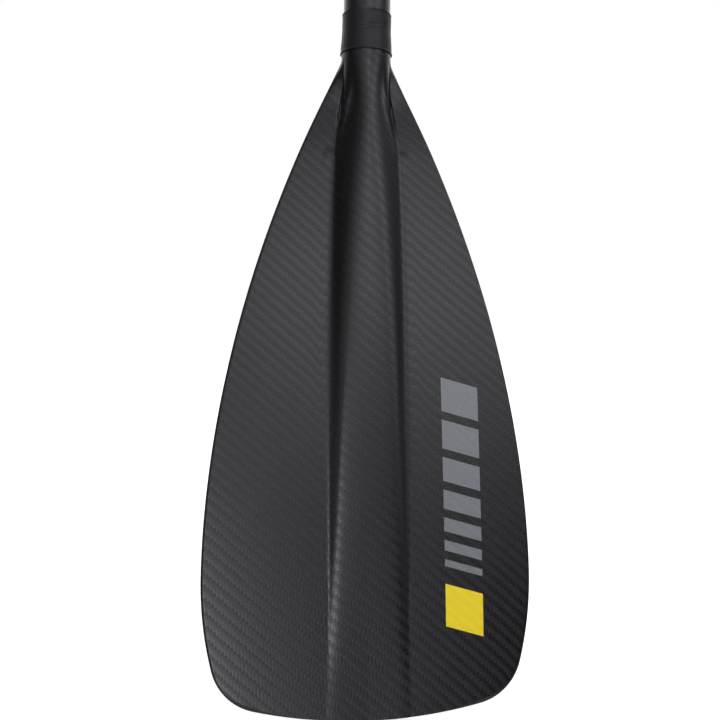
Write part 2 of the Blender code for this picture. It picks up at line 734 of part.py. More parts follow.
def lever_outline():
    """Outline of the lever's arm, which leaves the cam, wraps round the collar and
    flares out at its tip for a finger. Points are measured from the barrel."""
    barrel = Vector((SCREW_OUT, -BARREL_OUT))
    start = math.atan2(barrel.y, barrel.x)
    close = COLLAR_RADIUS + LEVER_GAP + LEVER_ROOT
    middle = []
    for step in range(LEVER_STEPS + 1):
        share = step / LEVER_STEPS
        angle = start - LEVER_WRAP * share
        radius = mix(barrel.length, close, smooth_step(0.0, LEVER_CLOSE_BY, share))
        flared = max(share - LEVER_FLARE_FROM, 0.0) / (1 - LEVER_FLARE_FROM)
        radius += LEVER_FLARE * flared ** 2
        middle.append(Vector((math.cos(angle), math.sin(angle))) * radius - barrel)
    inner = []
    outer = []
    for index, point in enumerate(middle):
        along = (middle[min(index + 1, LEVER_STEPS)] - middle[max(index - 1, 0)]).normalized()
        across = Vector((-along.y, along.x))
        half = mix(LEVER_ROOT, LEVER_TIP, index / LEVER_STEPS)
        inner.append(point - across * half)
        outer.append(point + across * half)
    heading = math.atan2(along.y, along.x)
    cap = arc(middle[-1], LEVER_TIP, heading - math.pi / 2, heading + math.pi / 2, 6)
    return inner + cap[1:-1] + list(reversed(outer))


def clamp_lever(finish, pivot):
    """The cam lever: two cam lobes on the barrel, and one curved arm."""
    half = LEVER_HALF_HEIGHT
    lever = add_object("clamp_lever", extruded(lever_outline(), -half, half, EDGE_ROUND), finish, pivot)
    lobe = arc(Vector((0, CAM_OFFSET)), CAM_RADIUS, 0, math.tau, 28)[:-1]
    cut_or_join(lever, "cam_join", extruded(lobe, -half, half, EDGE_ROUND / 2), "UNION")
    reach = 2 * CAM_RADIUS
    fork = box((-BARREL_RADIUS - 2 * FIT, -reach, -FORK_GAP), (reach, reach, FORK_GAP))
    cut_or_join(lever, "fork_cutter", fork, "DIFFERENCE")
    hole = plug(BARREL_RADIUS + FIT, -2 * half, 2 * half, SMALL_SIDES)
    cut_or_join(lever, "pivot_cutter", hole, "DIFFERENCE")


def upper_shaft(finish, parent):
    """The sliding tube, with a keyway along its left side that stops short of
    the grip."""
    top = UPPER_TOP - FIT
    shaft = add_object("upper_shaft", tube(UPPER_RADIUS, UPPER_BORE, UPPER_BASE, top), finish, parent)
    keyway = box(
        (-UPPER_RADIUS * 1.2, -KEYWAY_WIDTH / 2, UPPER_BASE - MM),
        (-(UPPER_RADIUS - KEYWAY_DEPTH), KEYWAY_WIDTH / 2, GRIP_BASE - KEYWAY_STOP),
    )
    cut_or_join(shaft, "keyway_cutter", keyway, "DIFFERENCE")


def upper_end_plug(finish, parent):
    """The hollow plug in the bottom end of the upper shaft."""
    seat = UPPER_BASE - FIT
    body = UPPER_BORE - FIT
    flange = UPPER_RADIUS - KEYWAY_DEPTH - FIT
    profile = [
        (END_PLUG_BORE, seat - END_PLUG_FLANGE),
        (flange - COLLAR_CHAMFER, seat - END_PLUG_FLANGE),
        (flange, seat - END_PLUG_FLANGE + COLLAR_CHAMFER),
        (flange, seat),
        (body, seat),
        (body, seat + END_PLUG_LENGTH),
        (END_PLUG_BORE, seat + END_PLUG_LENGTH),
    ]
    add_object("upper_end_plug", turned(profile, SMALL_SIDES), finish, parent)


def grip_size(level):
    """Half width and half depth of the palm grip at a height above its base."""
    share = smooth_step(NECK_TOP, BAR_WIDEST, level) ** NECK_FLARE
    up = min(max(level - BAR_WIDEST, 0.0) / (GRIP_HEIGHT - BAR_WIDEST), 1.0)
    crown = (1 - up ** CROWN_POWER) ** (1 / CROWN_POWER)
    half_width = mix(SOCKET_RADIUS, GRIP_WIDTH / 2, share) * crown
    half_depth = mix(SOCKET_RADIUS, GRIP_DEPTH / 2, share) * crown
    return half_width, half_depth, mix(2.0, BAR_POWER, share)


def grip_ring(bm, level, shrink=0.0):
    """One oval section of the grip. Shrink pulls the form in from all sides of
    the pad, so that a wall of that thickness is left over it."""
    half_width, half_depth, power = grip_size(level)
    height = level
    if shrink:
        half_width *= 1 - shrink / (GRIP_WIDTH / 2)
        half_depth *= 1 - shrink / (GRIP_DEPTH / 2)
        height = mix(PAD_FROM, level, 1 - shrink / (GRIP_HEIGHT - PAD_FROM))
    ring = []
    for step in range(GRIP_SIDES):
        angle = math.tau * step / GRIP_SIDES
        cos, sin = math.cos(angle), math.sin(angle)
        x = math.copysign(abs(cos) ** (2 / power), cos) * half_width
        y = math.copysign(abs(sin) ** (2 / power), sin) * half_depth
        ring.append(bm.verts.new((x, y, GRIP_BASE + height)))
    return ring


def round_ring(bm, radius, height):
    """A round section of the grip's socket, with as many points."""
    ring = []
    for step in range(GRIP_SIDES):
        angle = math.tau * step / GRIP_SIDES
        ring.append(bm.verts.new((radius * math.cos(angle), radius * math.sin(angle), height)))
    return ring


def joined(bm, rings):
    """Close the surface through a run of sections, and cap both its ends."""
    for lower, upper in zip(rings, rings[1:]):
        walled(bm, lower + lower[:1], upper + upper[:1])
    bm.faces.new(rings[0])
    bm.faces.new(rings[-1])


def palm_grip(hard, soft, parent):
    """The grip: a hard core with the socket for the shaft, and the soft pad that
    is moulded over its bar."""
    shares = [step / GRIP_ROWS for step in range(GRIP_ROWS)]
    levels = [mix(PAD_FROM, GRIP_HEIGHT, 1 - (1 - share) ** CROWN_CROWDING) for share in shares]
    levels.append(GRIP_HEIGHT * 0.996)
    lower_levels = [mix(NECK_TOP, PAD_FROM, share) for share in shares]
    bm = bmesh.new()
    bore = UPPER_RADIUS + FIT
    core = [round_ring(bm, bore, UPPER_TOP), round_ring(bm, bore, GRIP_BASE)]
    core += [grip_ring(bm, level) for level in [0.0] + lower_levels]
    core.append(grip_ring(bm, PAD_FROM - FIT))
    core += [grip_ring(bm, level, PAD_WALL + FIT) for level in levels]
    joined(bm, core)
    add_object("grip_core", finished(bm), hard, parent)
    bm = bmesh.new()
    pad = [grip_ring(bm, level, PAD_WALL) for level in reversed(levels)]
    pad += [grip_ring(bm, level) for level in levels]
    joined(bm, pad)
    add_object("grip_pad", finished(bm), soft, parent)


def empty(name, place, parent=None):
    """A joint's own axis, which its moving pieces hang from."""
    anchor = bpy.data.objects.new(name, None)
    bpy.context.scene.collection.objects.link(anchor)
    anchor.location = place
    anchor.parent = parent
    return anchor


for old in list(bpy.data.objects):
    bpy.data.objects.remove(old, do_unlink=True)

carbon = material("woven_carbon", (0.055, 0.055, 0.065), 0.32)
shaft_carbon = material("shaft_carbon", (0.03, 0.03, 0.033), 0.35)
heat_shrink = material("heat_shrink", (0.012, 0.012, 0.013), 0.5)
foam = material("foam", (0.75, 0.72, 0.64), 0.9)
composite = material("moulded_composite", (0.05, 0.05, 0.05), 0.6)
nylon = material("black_nylon", (0.02, 0.02, 0.022), 0.5)
acetal = material("pale_acetal", (0.6, 0.6, 0.58), 0.4)
steel = material("stainless_steel", (0.62, 0.62, 0.63), 0.3, 1.0)
soft_rubber = material("soft_rubber", (0.03, 0.03, 0.032), 0.8)

slide = empty("length_axis", (0, 0, 0))
pivot = empty("lever_axis", (SCREW_OUT, -BARREL_OUT, SCREW_LEVEL))

blade_skin("blade_back_skin", back_ridge, 0.0, 1, carbon)
blade_skin("blade_power_skin", power_ridge, CENTRE_RIDGE, -1, carbon)
blade_core(foam)
blade_tang(composite)
shrink_sleeve(heat_shrink)
lower_shaft(shaft_carbon)
foam_plugs(foam, slide)
clamp_collar(nylon)
collar_liner(acetal)
clamp_screw(steel)
lever_barrel(steel)
clamp_lever(nylon, pivot)
upper_shaft(shaft_carbon, slide)
upper_end_plug(nylon, slide)
palm_grip(nylon, soft_rubber, slide)
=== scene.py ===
# %% [markdown]
# # An adjustable paddle for stand-up boards
#
# The real object is a carbon blade bonded to a carbon tube, a second tube that slides in the first, a cam
# clamp that holds the two, and a palm grip. The solids that carry the sizes and the joints are loaded as a
# fixed frame. This notebook dresses them: it models the surfaces that the eye sees finely, and gives each
# one the finish of the real material.

import json
import math

import bmesh
import bpy
from mathutils import Matrix, Vector, noise


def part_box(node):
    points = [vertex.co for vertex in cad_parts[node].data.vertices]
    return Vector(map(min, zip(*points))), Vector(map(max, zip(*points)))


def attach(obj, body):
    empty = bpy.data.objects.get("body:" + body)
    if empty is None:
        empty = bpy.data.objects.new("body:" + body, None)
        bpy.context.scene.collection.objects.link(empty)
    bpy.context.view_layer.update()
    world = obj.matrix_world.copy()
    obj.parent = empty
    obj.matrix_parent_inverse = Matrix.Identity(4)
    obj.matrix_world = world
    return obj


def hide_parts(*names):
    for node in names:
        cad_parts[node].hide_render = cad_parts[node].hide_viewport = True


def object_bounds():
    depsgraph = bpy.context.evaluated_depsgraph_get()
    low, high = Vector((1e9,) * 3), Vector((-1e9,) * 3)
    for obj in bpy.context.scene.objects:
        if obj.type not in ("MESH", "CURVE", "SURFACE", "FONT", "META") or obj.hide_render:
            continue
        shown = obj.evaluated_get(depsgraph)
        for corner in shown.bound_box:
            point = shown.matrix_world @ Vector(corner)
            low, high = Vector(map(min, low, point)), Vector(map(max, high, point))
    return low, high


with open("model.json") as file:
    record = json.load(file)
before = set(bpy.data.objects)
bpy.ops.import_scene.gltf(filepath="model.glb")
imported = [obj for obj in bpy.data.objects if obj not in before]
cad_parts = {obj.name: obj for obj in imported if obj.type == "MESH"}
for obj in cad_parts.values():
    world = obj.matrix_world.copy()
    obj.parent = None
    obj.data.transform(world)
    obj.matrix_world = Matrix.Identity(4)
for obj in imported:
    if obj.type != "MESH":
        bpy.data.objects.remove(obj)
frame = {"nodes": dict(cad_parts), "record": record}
cad_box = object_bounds()
scene = bpy.context.scene

# %% [markdown]
# Everything is measured in metres, so millimetres get a short name. The paddle stands upright: +Z runs up
# the shaft, and the ribbed back of the blade looks towards -Y. The zero point is where shaft and blade meet.

# %% A unit, a direction and a few ways of blending numbers
MM = 0.001
FIT = 0.3 * MM


def mix(a, b, share):
    return a + (b - a) * share


def smooth_step(low, high, value):
    t = min(max((value - low) / (high - low), 0.0), 1.0)
    return t * t * (3 - 2 * t)


def soft_max(value, floor, blend):
    """The larger of two values, with the corner between them rounded."""
    above = value - floor
    return floor + (above + math.hypot(above, blend)) / 2


def soft_min(a, b, blend):
    return -soft_max(-a, -b, blend)


def towards(azimuth, elevation):
    """Direction at an angle to the right of the front and an angle up, both in degrees."""
    turn, up = math.radians(azimuth), math.radians(elevation)
    return Vector((math.sin(turn) * math.cos(up), -math.cos(turn) * math.cos(up), math.sin(up)))


print("one millimetre is", MM, "metres")

# %% [markdown]
# ## The camera
#
# The camera stands half a metre in front of the blade, a little to its left and above its middle, and is
# rolled by one degree. A short lens this close makes the blade's lower half look larger than the neck.

# %% Camera
CAMERA_PLACE = Vector((-0.0545, -0.4897, -0.1582))
CAMERA_AZIMUTH = -6.35
CAMERA_ELEVATION = 5.01
CAMERA_ROLL = math.radians(1.14)
CAMERA_LENS = 38.18

away = towards(CAMERA_AZIMUTH, CAMERA_ELEVATION)
right = Vector((0, 0, 1)).cross(away).normalized()
level = Matrix((right, away.cross(right), away)).transposed().to_4x4()
camera_data = bpy.data.cameras.new("camera")
camera_data.lens = CAMERA_LENS
camera_data.sensor_width = 36.0
camera = bpy.data.objects.new("camera", camera_data)
camera.matrix_world = Matrix.Translation(CAMERA_PLACE) @ level @ Matrix.Rotation(CAMERA_ROLL, 4, "Z")
scene.collection.objects.link(camera)
scene.camera = camera
print("camera stands", round((CAMERA_PLACE - Vector((0, 0, -0.2))).length, 3), "m from the middle of the blade")

# %% [markdown]
# ## Making and finishing pieces
#
# Each finished piece is a mesh object at the zero point, riding on one of the frame's bodies. It stands for
# one or more solids, which are then hidden, and it is given one of the finishes made below.

# %% Turn a bmesh into a finished piece
BODY_OF = {}
for body, members in frame["record"]["behaviour"]["bodies"].items():
    for member in members:
        BODY_OF[member] = body


def finished(name, bm, sharp=35, outward=True):
    """Make an object of a bmesh, smooth apart from edges sharper than an angle in degrees."""
    if outward:
        bmesh.ops.recalc_face_normals(bm, faces=bm.faces)
    mesh = bpy.data.meshes.new(name)
    bm.to_mesh(mesh)
    bm.free()
    mesh.shade_smooth()
    mesh.set_sharp_from_angle(angle=math.radians(sharp))
    piece = bpy.data.objects.new(name, mesh)
    scene.collection.objects.link(piece)
    return piece


def stand_in(piece, *nodes):
    """Let a piece ride with the solids that it stands for, and hide those."""
    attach(piece, BODY_OF[nodes[0]])
    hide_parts(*nodes)
    print(f"{piece.name}: {len(piece.data.polygons)} faces for {', '.join(nodes)}")
    return piece


# %% [markdown]
# ## The blade's form
#
# The blade is laid up in a mould, so its form is smooth everywhere but at two creases, where the flanks of
# the spine meet the flat panels. It is easiest to describe by its centre line, its outline and the height of
# its faces over the middle surface, and then to lay a fine grid on that description.

# %% Sizes of the blade
BLADE_LENGTH = 408 * MM
BLADE_WIDTH = 190 * MM
WIDEST_AT = 327 * MM
FLARE_REACH = 342 * MM
FLARE_POWER = 1.89
SHOULDER_BLEND = 0.8 * MM
SIDE_RADIUS = 195 * MM
CORNER_RADIUS = 32 * MM
TIP_RADIUS = 275 * MM
CANT = math.radians(12.0)
BEND_START = 12 * MM
BEND_LENGTH = 30 * MM
SCOOP = 3 * MM
DIHEDRAL = 2.5 * MM
NECK_RADIUS = 15.3 * MM
NECK_END = 16 * MM
MORPH_END = 75 * MM
SKIN = 0.95 * MM
RIM_THICKNESS = 3.0 * MM
RIM_LAND = 0.8 * MM
RIM_ROUND = 2.2 * MM
PANEL_SWELL = 1.0 * MM
SWELL_LENGTH = 25 * MM
SPINE_START = 20 * MM
SPINE_END = 367 * MM
SPINE_FADE = 18 * MM
SPINE_HALF_WIDTH = 23 * MM
SPINE_SPREAD = 75 * MM
FLANK_SLOPE = 0.8
FLANK_BULGE = 0.22
FLANK_LEAST = 3.4 * MM
CREST_CROWN = 0.7 * MM
CREST_ROUND = 1.6 * MM
CREST_LEAST_SHARE = 0.1
CROWN_SHARE = 0.12
ROUND_SHARE = 0.5
FAIRING_END = 150 * MM
FAIRING_HALF_WIDTH = 19 * MM
CENTRE_RIDGE = 1.6 * MM
NECK_ROWS = 8
MORPH_ROWS = 30
BODY_ROWS = 56
SIDE_STEPS = 14
CORNER_STEPS = 12
print("blade:", BLADE_WIDTH, "m wide,", BLADE_LENGTH, "m long")

# %% The centre line, with the bend that sets the blade ahead of the shaft
def blade_frame(station):
    """Point on the centre line at a distance from the joint, and the way out of the back face there."""
    straight = min(station, BEND_START)
    bent = min(max(station - BEND_START, 0.0), BEND_LENGTH)
    rest = max(station - BEND_START - BEND_LENGTH, 0.0)
    bend_radius = BEND_LENGTH / CANT
    turn = bent / bend_radius
    point = Vector((0, bend_radius * (math.cos(turn) - 1), -straight - bend_radius * math.sin(turn)))
    out = Vector((0, -math.cos(turn), math.sin(turn)))
    onward = Vector((0, -math.sin(turn), -math.cos(turn)))
    return point + onward * rest, out


def blade_point(x, station, height, side):
    """Place of a point of the blade, side +1 on the back face and -1 on the power face."""
    point, out = blade_frame(station)
    grown = smooth_step(NECK_END, MORPH_END, station)
    across = min(x / (BLADE_WIDTH / 2), 1.0)
    along = station / BLADE_LENGTH
    lift = grown * (DIHEDRAL * across ** 1.5 + SCOOP * 4 * along * (1 - along))
    return point + Vector((x, 0, 0)) + out * (lift + side * height)


print("the tip leans", round(-blade_point(0, BLADE_LENGTH, 0, 1).y / MM), "mm ahead of the shaft")

# %% The outline: a flare, a side arc, a corner arc and a wide arc across the tip
def flare(station):
    """Half width of the blade above its widest place."""
    share = min(max(WIDEST_AT - station, 0.0) / FLARE_REACH, 1.0)
    grown = BLADE_WIDTH / 2 * (1 - share ** FLARE_POWER)
    return soft_max(grown, NECK_RADIUS, SHOULDER_BLEND)


SIDE_CENTRE = Vector((BLADE_WIDTH / 2 - SIDE_RADIUS, WIDEST_AT))
LOWER_CENTRE = Vector((0, BLADE_LENGTH - TIP_RADIUS))


def corner_centre():
    """Centre of the arc that touches the side arc and the tip arc from inside."""
    apart = LOWER_CENTRE - SIDE_CENTRE
    to_side = SIDE_RADIUS - CORNER_RADIUS
    to_lower = TIP_RADIUS - CORNER_RADIUS
    along = (to_side ** 2 - to_lower ** 2 + apart.length_squared) / (2 * apart.length)
    across = math.sqrt(to_side ** 2 - along ** 2)
    line = apart.normalized()
    return SIDE_CENTRE + line * along + Vector((-line.y, line.x)) * across


CORNER_CENTRE = corner_centre()
TURN_IN = math.atan2(*reversed(CORNER_CENTRE - SIDE_CENTRE))
TURN_OUT = math.atan2(*reversed(CORNER_CENTRE - LOWER_CENTRE))


def side_outline():
    """Points of the right edge down to the middle of the corner, each with the way out of it."""
    pairs = []
    stations = [NECK_END * row / NECK_ROWS for row in range(NECK_ROWS)]
    stations += [mix(NECK_END, MORPH_END, row / MORPH_ROWS) for row in range(MORPH_ROWS)]
    stations += [mix(MORPH_END, WIDEST_AT, row / BODY_ROWS) for row in range(BODY_ROWS)]
    for station in stations:
        slope = (flare(station + MM) - flare(station - MM)) / (2 * MM)
        pairs.append((Vector((flare(station), station)), Vector((1, -slope)).normalized()))
    corner_middle = (TURN_IN + TURN_OUT) / 2
    for centre, radius, start, end, steps in (
        (SIDE_CENTRE, SIDE_RADIUS, 0.0, TURN_IN, SIDE_STEPS),
        (CORNER_CENTRE, CORNER_RADIUS, TURN_IN, corner_middle, CORNER_STEPS),
    ):
        for step in range(steps + 1):
            angle = mix(start, end, step / steps)
            out = Vector((math.cos(angle), math.sin(angle)))
            if step or centre == SIDE_CENTRE:
                pairs.append((centre + out * radius, out))
    return pairs


def lower_edge(x, inset):
    """Point at x on the lower edge, or on a line inside it, and the way out of it."""
    centre, radius = LOWER_CENTRE, TIP_RADIUS - inset
    if x > LOWER_CENTRE.x + radius * math.cos(TURN_OUT):
        centre, radius = CORNER_CENTRE, CORNER_RADIUS - inset
    across = min(x - centre.x, radius)
    point = Vector((x, centre.y + math.sqrt(radius ** 2 - across ** 2)))
    return point, (point - centre).normalized()


print("outline points on each side:", len(side_outline()))

# %% [markdown]
# The faces are heights over the middle surface. A panel swells a millimetre from its rim inwards, and the rim
# is rounded down to a thin land. The back carries the spine, with flat flanks and a softly crowned crest. The
# power face carries the faired half tube of the neck, which sinks into a low ridge.

# %% Heights of the faces
def panel_height(inboard):
    """Height of a panel at a distance inside its outline."""
    if inboard >= RIM_ROUND:
        return RIM_THICKNESS / 2 + PANEL_SWELL * (1 - math.exp((RIM_ROUND - inboard) / SWELL_LENGTH))
    across = 1 - inboard / RIM_ROUND
    return RIM_LAND / 2 + (RIM_THICKNESS - RIM_LAND) / 2 * math.sqrt(max(1 - across ** 2, 0.0))


def face_height(x, inboard, centre_ridge):
    """Height of a face without spine or fairing, which may have a low ridge along its middle."""
    return panel_height(inboard) + centre_ridge * (1 - min(x / (BLADE_WIDTH / 2), 1.0))


def back_section(station, foot):
    """Half width of the spine at a station, and its height as a function of x."""
    grown = 1 - math.exp(-max(station - NECK_END, 0.0) / SPINE_SPREAD)
    reach = mix(NECK_RADIUS, SPINE_HALF_WIDTH, grown)
    fall = (NECK_RADIUS - foot) / (SPINE_END - SPINE_START)
    rise = soft_max(fall * (SPINE_END - station), 0.0, fall * SPINE_FADE)
    flank_width = soft_max(rise / FLANK_SLOPE, FLANK_LEAST, 1 * MM)
    crest = soft_max(reach - flank_width, reach * CREST_LEAST_SHARE, 2 * MM)
    crown = min(CREST_CROWN, rise * CROWN_SHARE)
    blend = min(CREST_ROUND, rise * ROUND_SHARE)

    def height(x):
        up = (reach - x) / (reach - crest)
        top = foot + rise - crown * (x / crest) ** 2
        flank = foot + (rise - crown) * (up + FLANK_BULGE * max(up * (1 - up), 0.0))
        return soft_min(top, flank, blend)

    return reach, height


def power_section(station, foot):
    """Half width of the faired neck at a station, and its height as a function of x."""
    fade = 1 - smooth_step(NECK_END, FAIRING_END, station)
    rise = (NECK_RADIUS - foot) * fade

    def height(x):
        return foot + rise * (1 + math.cos(math.pi * x / FAIRING_HALF_WIDTH)) / 2

    return FAIRING_HALF_WIDTH, height


print("the spine is", round(back_section(200 * MM, 2 * MM)[1](0) / MM, 1), "mm high half-way down")

# %% [markdown]
# One grid covers the right half of a face. Its columns run from the centre line over the ridge to a line just
# inside the rim, its rows from the neck to the corner of the tip, and the last rows bow to follow the lower
# edge. Further rings then go over the rounded rim. On the neck each column sits at its own angle of the round
# tube, and over the next 60 mm it moves to its place on the blade, which gives the moulded transition. A few
# columns lie close beside the crease, where the fillet will be, and the shoulder flattens sooner than the ridge.

# %% Lay the grid on the form
RIDGE_COLUMNS = 26
PANEL_COLUMNS = 20
PANEL_CROWDING = 1.7
FILLET_COLUMNS = 5
FILLET_REACH = 4.5 * MM
RIDGE_ANGLE = 69.0
PANEL_ANGLE = 86.7
NECK_EASING = 1.7
SHOULDER_FLAT = 46 * MM
MORPH_START = NECK_END * 0.75
FLAT_FROM_ANGLE = RIDGE_ANGLE - 12
FLAT_TO_ANGLE = RIDGE_ANGLE + 2
EASED_WIDTH = 1.25
CREASE_INSIDE = 0.96
FILLET_MOST_SHARE = 0.3
BOW_POWER = 3
RIM_RINGS = 7


def moulded(angle, edge, x, station, height):
    """Blend the round neck, where a point lies at an angle from the crown, into the blade's own form."""
    share = smooth_step(MORPH_START, MORPH_END, station)
    flat_end = mix(MORPH_END, SHOULDER_FLAT, smooth_step(FLAT_FROM_ANGLE, FLAT_TO_ANGLE, angle))
    flat_share = smooth_step(MORPH_START, flat_end, station)
    round_x = NECK_RADIUS * math.sin(math.radians(angle))
    round_height = max(NECK_RADIUS * math.cos(math.radians(angle)), FIT / 2)
    crease = NECK_RADIUS * math.sin(math.radians(RIDGE_ANGLE))
    if round_x > crease:
        beyond = (round_x - crease) / (NECK_RADIUS - crease)
        easing = mix(1.0, NECK_EASING, smooth_step(1.0, EASED_WIDTH, edge / NECK_RADIUS))
        round_x = mix(crease, edge, beyond ** easing)
    return mix(round_x, x, share), station, mix(round_height, max(height, FIT / 2), flat_share)


def face_rows(section, centre_ridge):
    """Rows of (x, station, height) on the right half of a face, and the rings over its rim."""
    pairs = side_outline()
    last, last_out = pairs[-1]
    corner_x = last.x - RIM_ROUND * last_out.x
    corner_station = lower_edge(corner_x, RIM_ROUND)[0].y
    rows = []
    for point, out in pairs:
        end = point - out * RIM_ROUND
        middle = face_height(0.0, point.x, centre_ridge)
        reach, height = section(point.y, middle)
        crease_x = min(reach, end.x * CREASE_INSIDE)
        columns = []
        for step in range(RIDGE_COLUMNS + 1):
            share = step / RIDGE_COLUMNS
            x = crease_x * share
            # Beside a centre ridge the face falls away, and the fairing falls with it.
            sunk = middle - face_height(x, point.x - x, centre_ridge) if centre_ridge else 0.0
            columns.append((RIDGE_ANGLE * share, x, point.y, height(reach * share) - sunk))
        beside = min(FILLET_REACH / (end.x - crease_x), FILLET_MOST_SHARE)
        shares = [beside * step / FILLET_COLUMNS for step in range(1, FILLET_COLUMNS)]
        for step in range(PANEL_COLUMNS + 1):
            shares.append(1 - (1 - beside) * (1 - step / PANEL_COLUMNS) ** PANEL_CROWDING)
        for step, share in enumerate(shares):
            angle = mix(RIDGE_ANGLE, PANEL_ANGLE, (step + 1) / len(shares))
            x = mix(crease_x, end.x, share)
            inboard = mix(point.x - crease_x, RIM_ROUND, share)
            columns.append((angle, x, mix(point.y, end.y, share), face_height(x, inboard, centre_ridge)))
        bow = max((point.y - MORPH_END) / (last.y - MORPH_END), 0.0) ** BOW_POWER
        row = []
        for angle, x, station, high in columns:
            drop = lower_edge(x / end.x * corner_x, RIM_ROUND)[0].y - corner_station
            row.append(moulded(angle, point.x, x, station + drop * bow, high))
        rows.append(row)
    border = [(point, out, point.x) for point, out in pairs]
    for x, _, _ in reversed(rows[-1][:-1]):
        inside, out = lower_edge(x, RIM_ROUND)
        border.append((inside + out * RIM_ROUND, out, last.x))
    rings = []
    for step in range(1, RIM_RINGS + 1):
        turn = math.pi / 2 * step / RIM_RINGS
        inset = RIM_ROUND * (1 - math.sin(turn))
        angle = mix(PANEL_ANGLE, 90.0, step / RIM_RINGS)
        ring = []
        for point, out, edge in border:
            at = point - out * inset
            ring.append(moulded(angle, edge, at.x, at.y, face_height(at.x, inset, centre_ridge)))
        rings.append(ring)
    rings.append([(x, station, FIT / 2) for x, station, _ in rings[-1]])
    return rows, rings


print("a half face has", len(face_rows(back_section, 0.0)[0]), "rows")

# %% [markdown]
# The cloth of the blade is one sheet that is pressed over the spine, so its threads follow the surface. Each
# point gets its place on the flat cloth: how far it lies from the centre line, measured over the surface,
# and how far down. These two numbers become the UV map, in metres, and the weave is drawn on it. Resin fills
# the creases a little, so the columns beside them are smoothed: each pass has its start, its end and a count,
# and the passes overlap, so that the fillet grows from the neck and fades out towards the tip.

# %% Build a face from a grid and a rim
CREASE_PASSES = (
    (26 * MM, 80 * MM, 1), (32 * MM, 330 * MM, 2), (45 * MM, 330 * MM, 2), (60 * MM, 300 * MM, 2),
    (75 * MM, 270 * MM, 4), (90 * MM, 250 * MM, 4), (110 * MM, 230 * MM, 2),
)
SMOOTHED = slice(RIDGE_COLUMNS - 5, RIDGE_COLUMNS + FILLET_COLUMNS + 2)
SHARPEST_FOLD = 80


def blade_face(name, section, centre_ridge, side, crease_passes=()):
    """Build one face of the blade as a shell, with its cloth coordinates."""
    rows, rings = face_rows(section, centre_ridge)
    bm = bmesh.new()
    cloth = bm.verts.layers.float_vector.new("cloth")
    bmesh.ops.create_grid(bm, x_segments=len(rows[0]) - 1, y_segments=len(rows) - 1, size=0.5)
    wide, tall = len(rows[0]) - 1, len(rows) - 1
    grid = [[None] * (wide + 1) for _ in range(tall + 1)]
    for vert in bm.verts:
        grid[round((0.5 - vert.co.y) * tall)][round((vert.co.x + 0.5) * wide)] = vert
    for row, verts in zip(rows, grid):
        run = 0.0
        before = None
        for place, vert in zip(row, verts):
            vert.co = blade_point(*place, side)
            run += (vert.co - before).length if before else 0.0
            before = vert.co.copy()
            vert[cloth] = (run, -place[1], 0.0)
    border = [verts[-1] for verts in grid] + grid[-1][-2::-1]
    for ring in rings:
        edges = [bm.edges.get(pair) for pair in zip(border, border[1:])]
        grown = bmesh.ops.extrude_edge_only(bm, edges=edges)["geom"]
        added = {item for item in grown if isinstance(item, bmesh.types.BMVert)}
        outer = [next(e.other_vert(v) for e in v.link_edges if e.other_vert(v) in added) for v in border]
        for vert, inner, place in zip(outer, border, ring):
            vert.co = blade_point(*place, side)
            vert[cloth] = Vector(inner[cloth]) + Vector((vert.co.x - inner.co.x, vert.co.z - inner.co.z, 0.0))
        border = outer
    for start, end, times in crease_passes:
        near = [vert for row in grid for vert in row[SMOOTHED] if start < -vert[cloth][1] < end]
        for _ in range(times):
            bmesh.ops.smooth_vert(bm, verts=near, factor=0.5, use_axis_x=True, use_axis_y=True)
    bmesh.ops.mirror(bm, geom=bm.verts[:] + bm.edges[:] + bm.faces[:], axis="X", merge_dist=1e-7)
    for vert in bm.verts:
        if vert.co.x < 0:
            vert[cloth] = (-vert[cloth][0], vert[cloth][1], 0.0)
    bmesh.ops.recalc_face_normals(bm, faces=bm.faces)
    middle = min(bm.faces, key=lambda face: (face.calc_center_median() - blade_point(0, 0.2, 0, side)).length)
    if middle.normal.y * side > 0:
        bmesh.ops.reverse_faces(bm, faces=bm.faces)
    uv = bm.loops.layers.uv.new("cloth")
    for face in bm.faces:
        for loop in face.loops:
            loop[uv].uv = loop.vert[cloth][:2]
    bm.verts.layers.float_vector.remove(cloth)
    piece = finished(name, bm, sharp=SHARPEST_FOLD, outward=False)
    wall = piece.modifiers.new("wall", "SOLIDIFY")
    wall.thickness = SKIN
    wall.offset = -1.0
    return piece


back_face = blade_face("ribbed_face", back_section, 0.0, 1, CREASE_PASSES)
power_face = blade_face("smooth_face", power_section, CENTRE_RIDGE, -1)
stand_in(back_face, "blade_back_skin")
stand_in(power_face, "blade_power_skin")

# %% [markdown]
# ## The neck's sleeve and the shafts
#
# Where the blade is glued on, a black heat-shrink sleeve covers the step from the shaft to the slightly
# thicker neck. It is a thin tube of soft plastic, so it shows the step beneath it, a rolled bead at each end
# and faint wrinkles where it shrank unevenly. A profile spun round the shaft gives the tube. Two layers of
# noise give the wrinkles, each with its fineness round and along the tube, a shift and a share. Five creases
# follow, each with its level, the way it faces and its reach in degrees, and its depth.

# %% Spin a profile round the shaft
def spun(profile, sides):
    """Spin a closed profile of (radius, height) points round the Z axis into a bmesh."""
    bm = bmesh.new()
    verts = [bm.verts.new((radius, 0, height)) for radius, height in profile]
    edges = [bm.edges.new(pair) for pair in zip(verts, verts[1:])]
    edges.append(bm.edges.new((verts[-1], verts[0])))
    bmesh.ops.spin(
        bm, geom=verts + edges, cent=(0, 0, 0), axis=(0, 0, 1), angle=math.tau, steps=sides, use_merge=True
    )
    bmesh.ops.remove_doubles(bm, verts=bm.verts, dist=1e-7)
    return bm


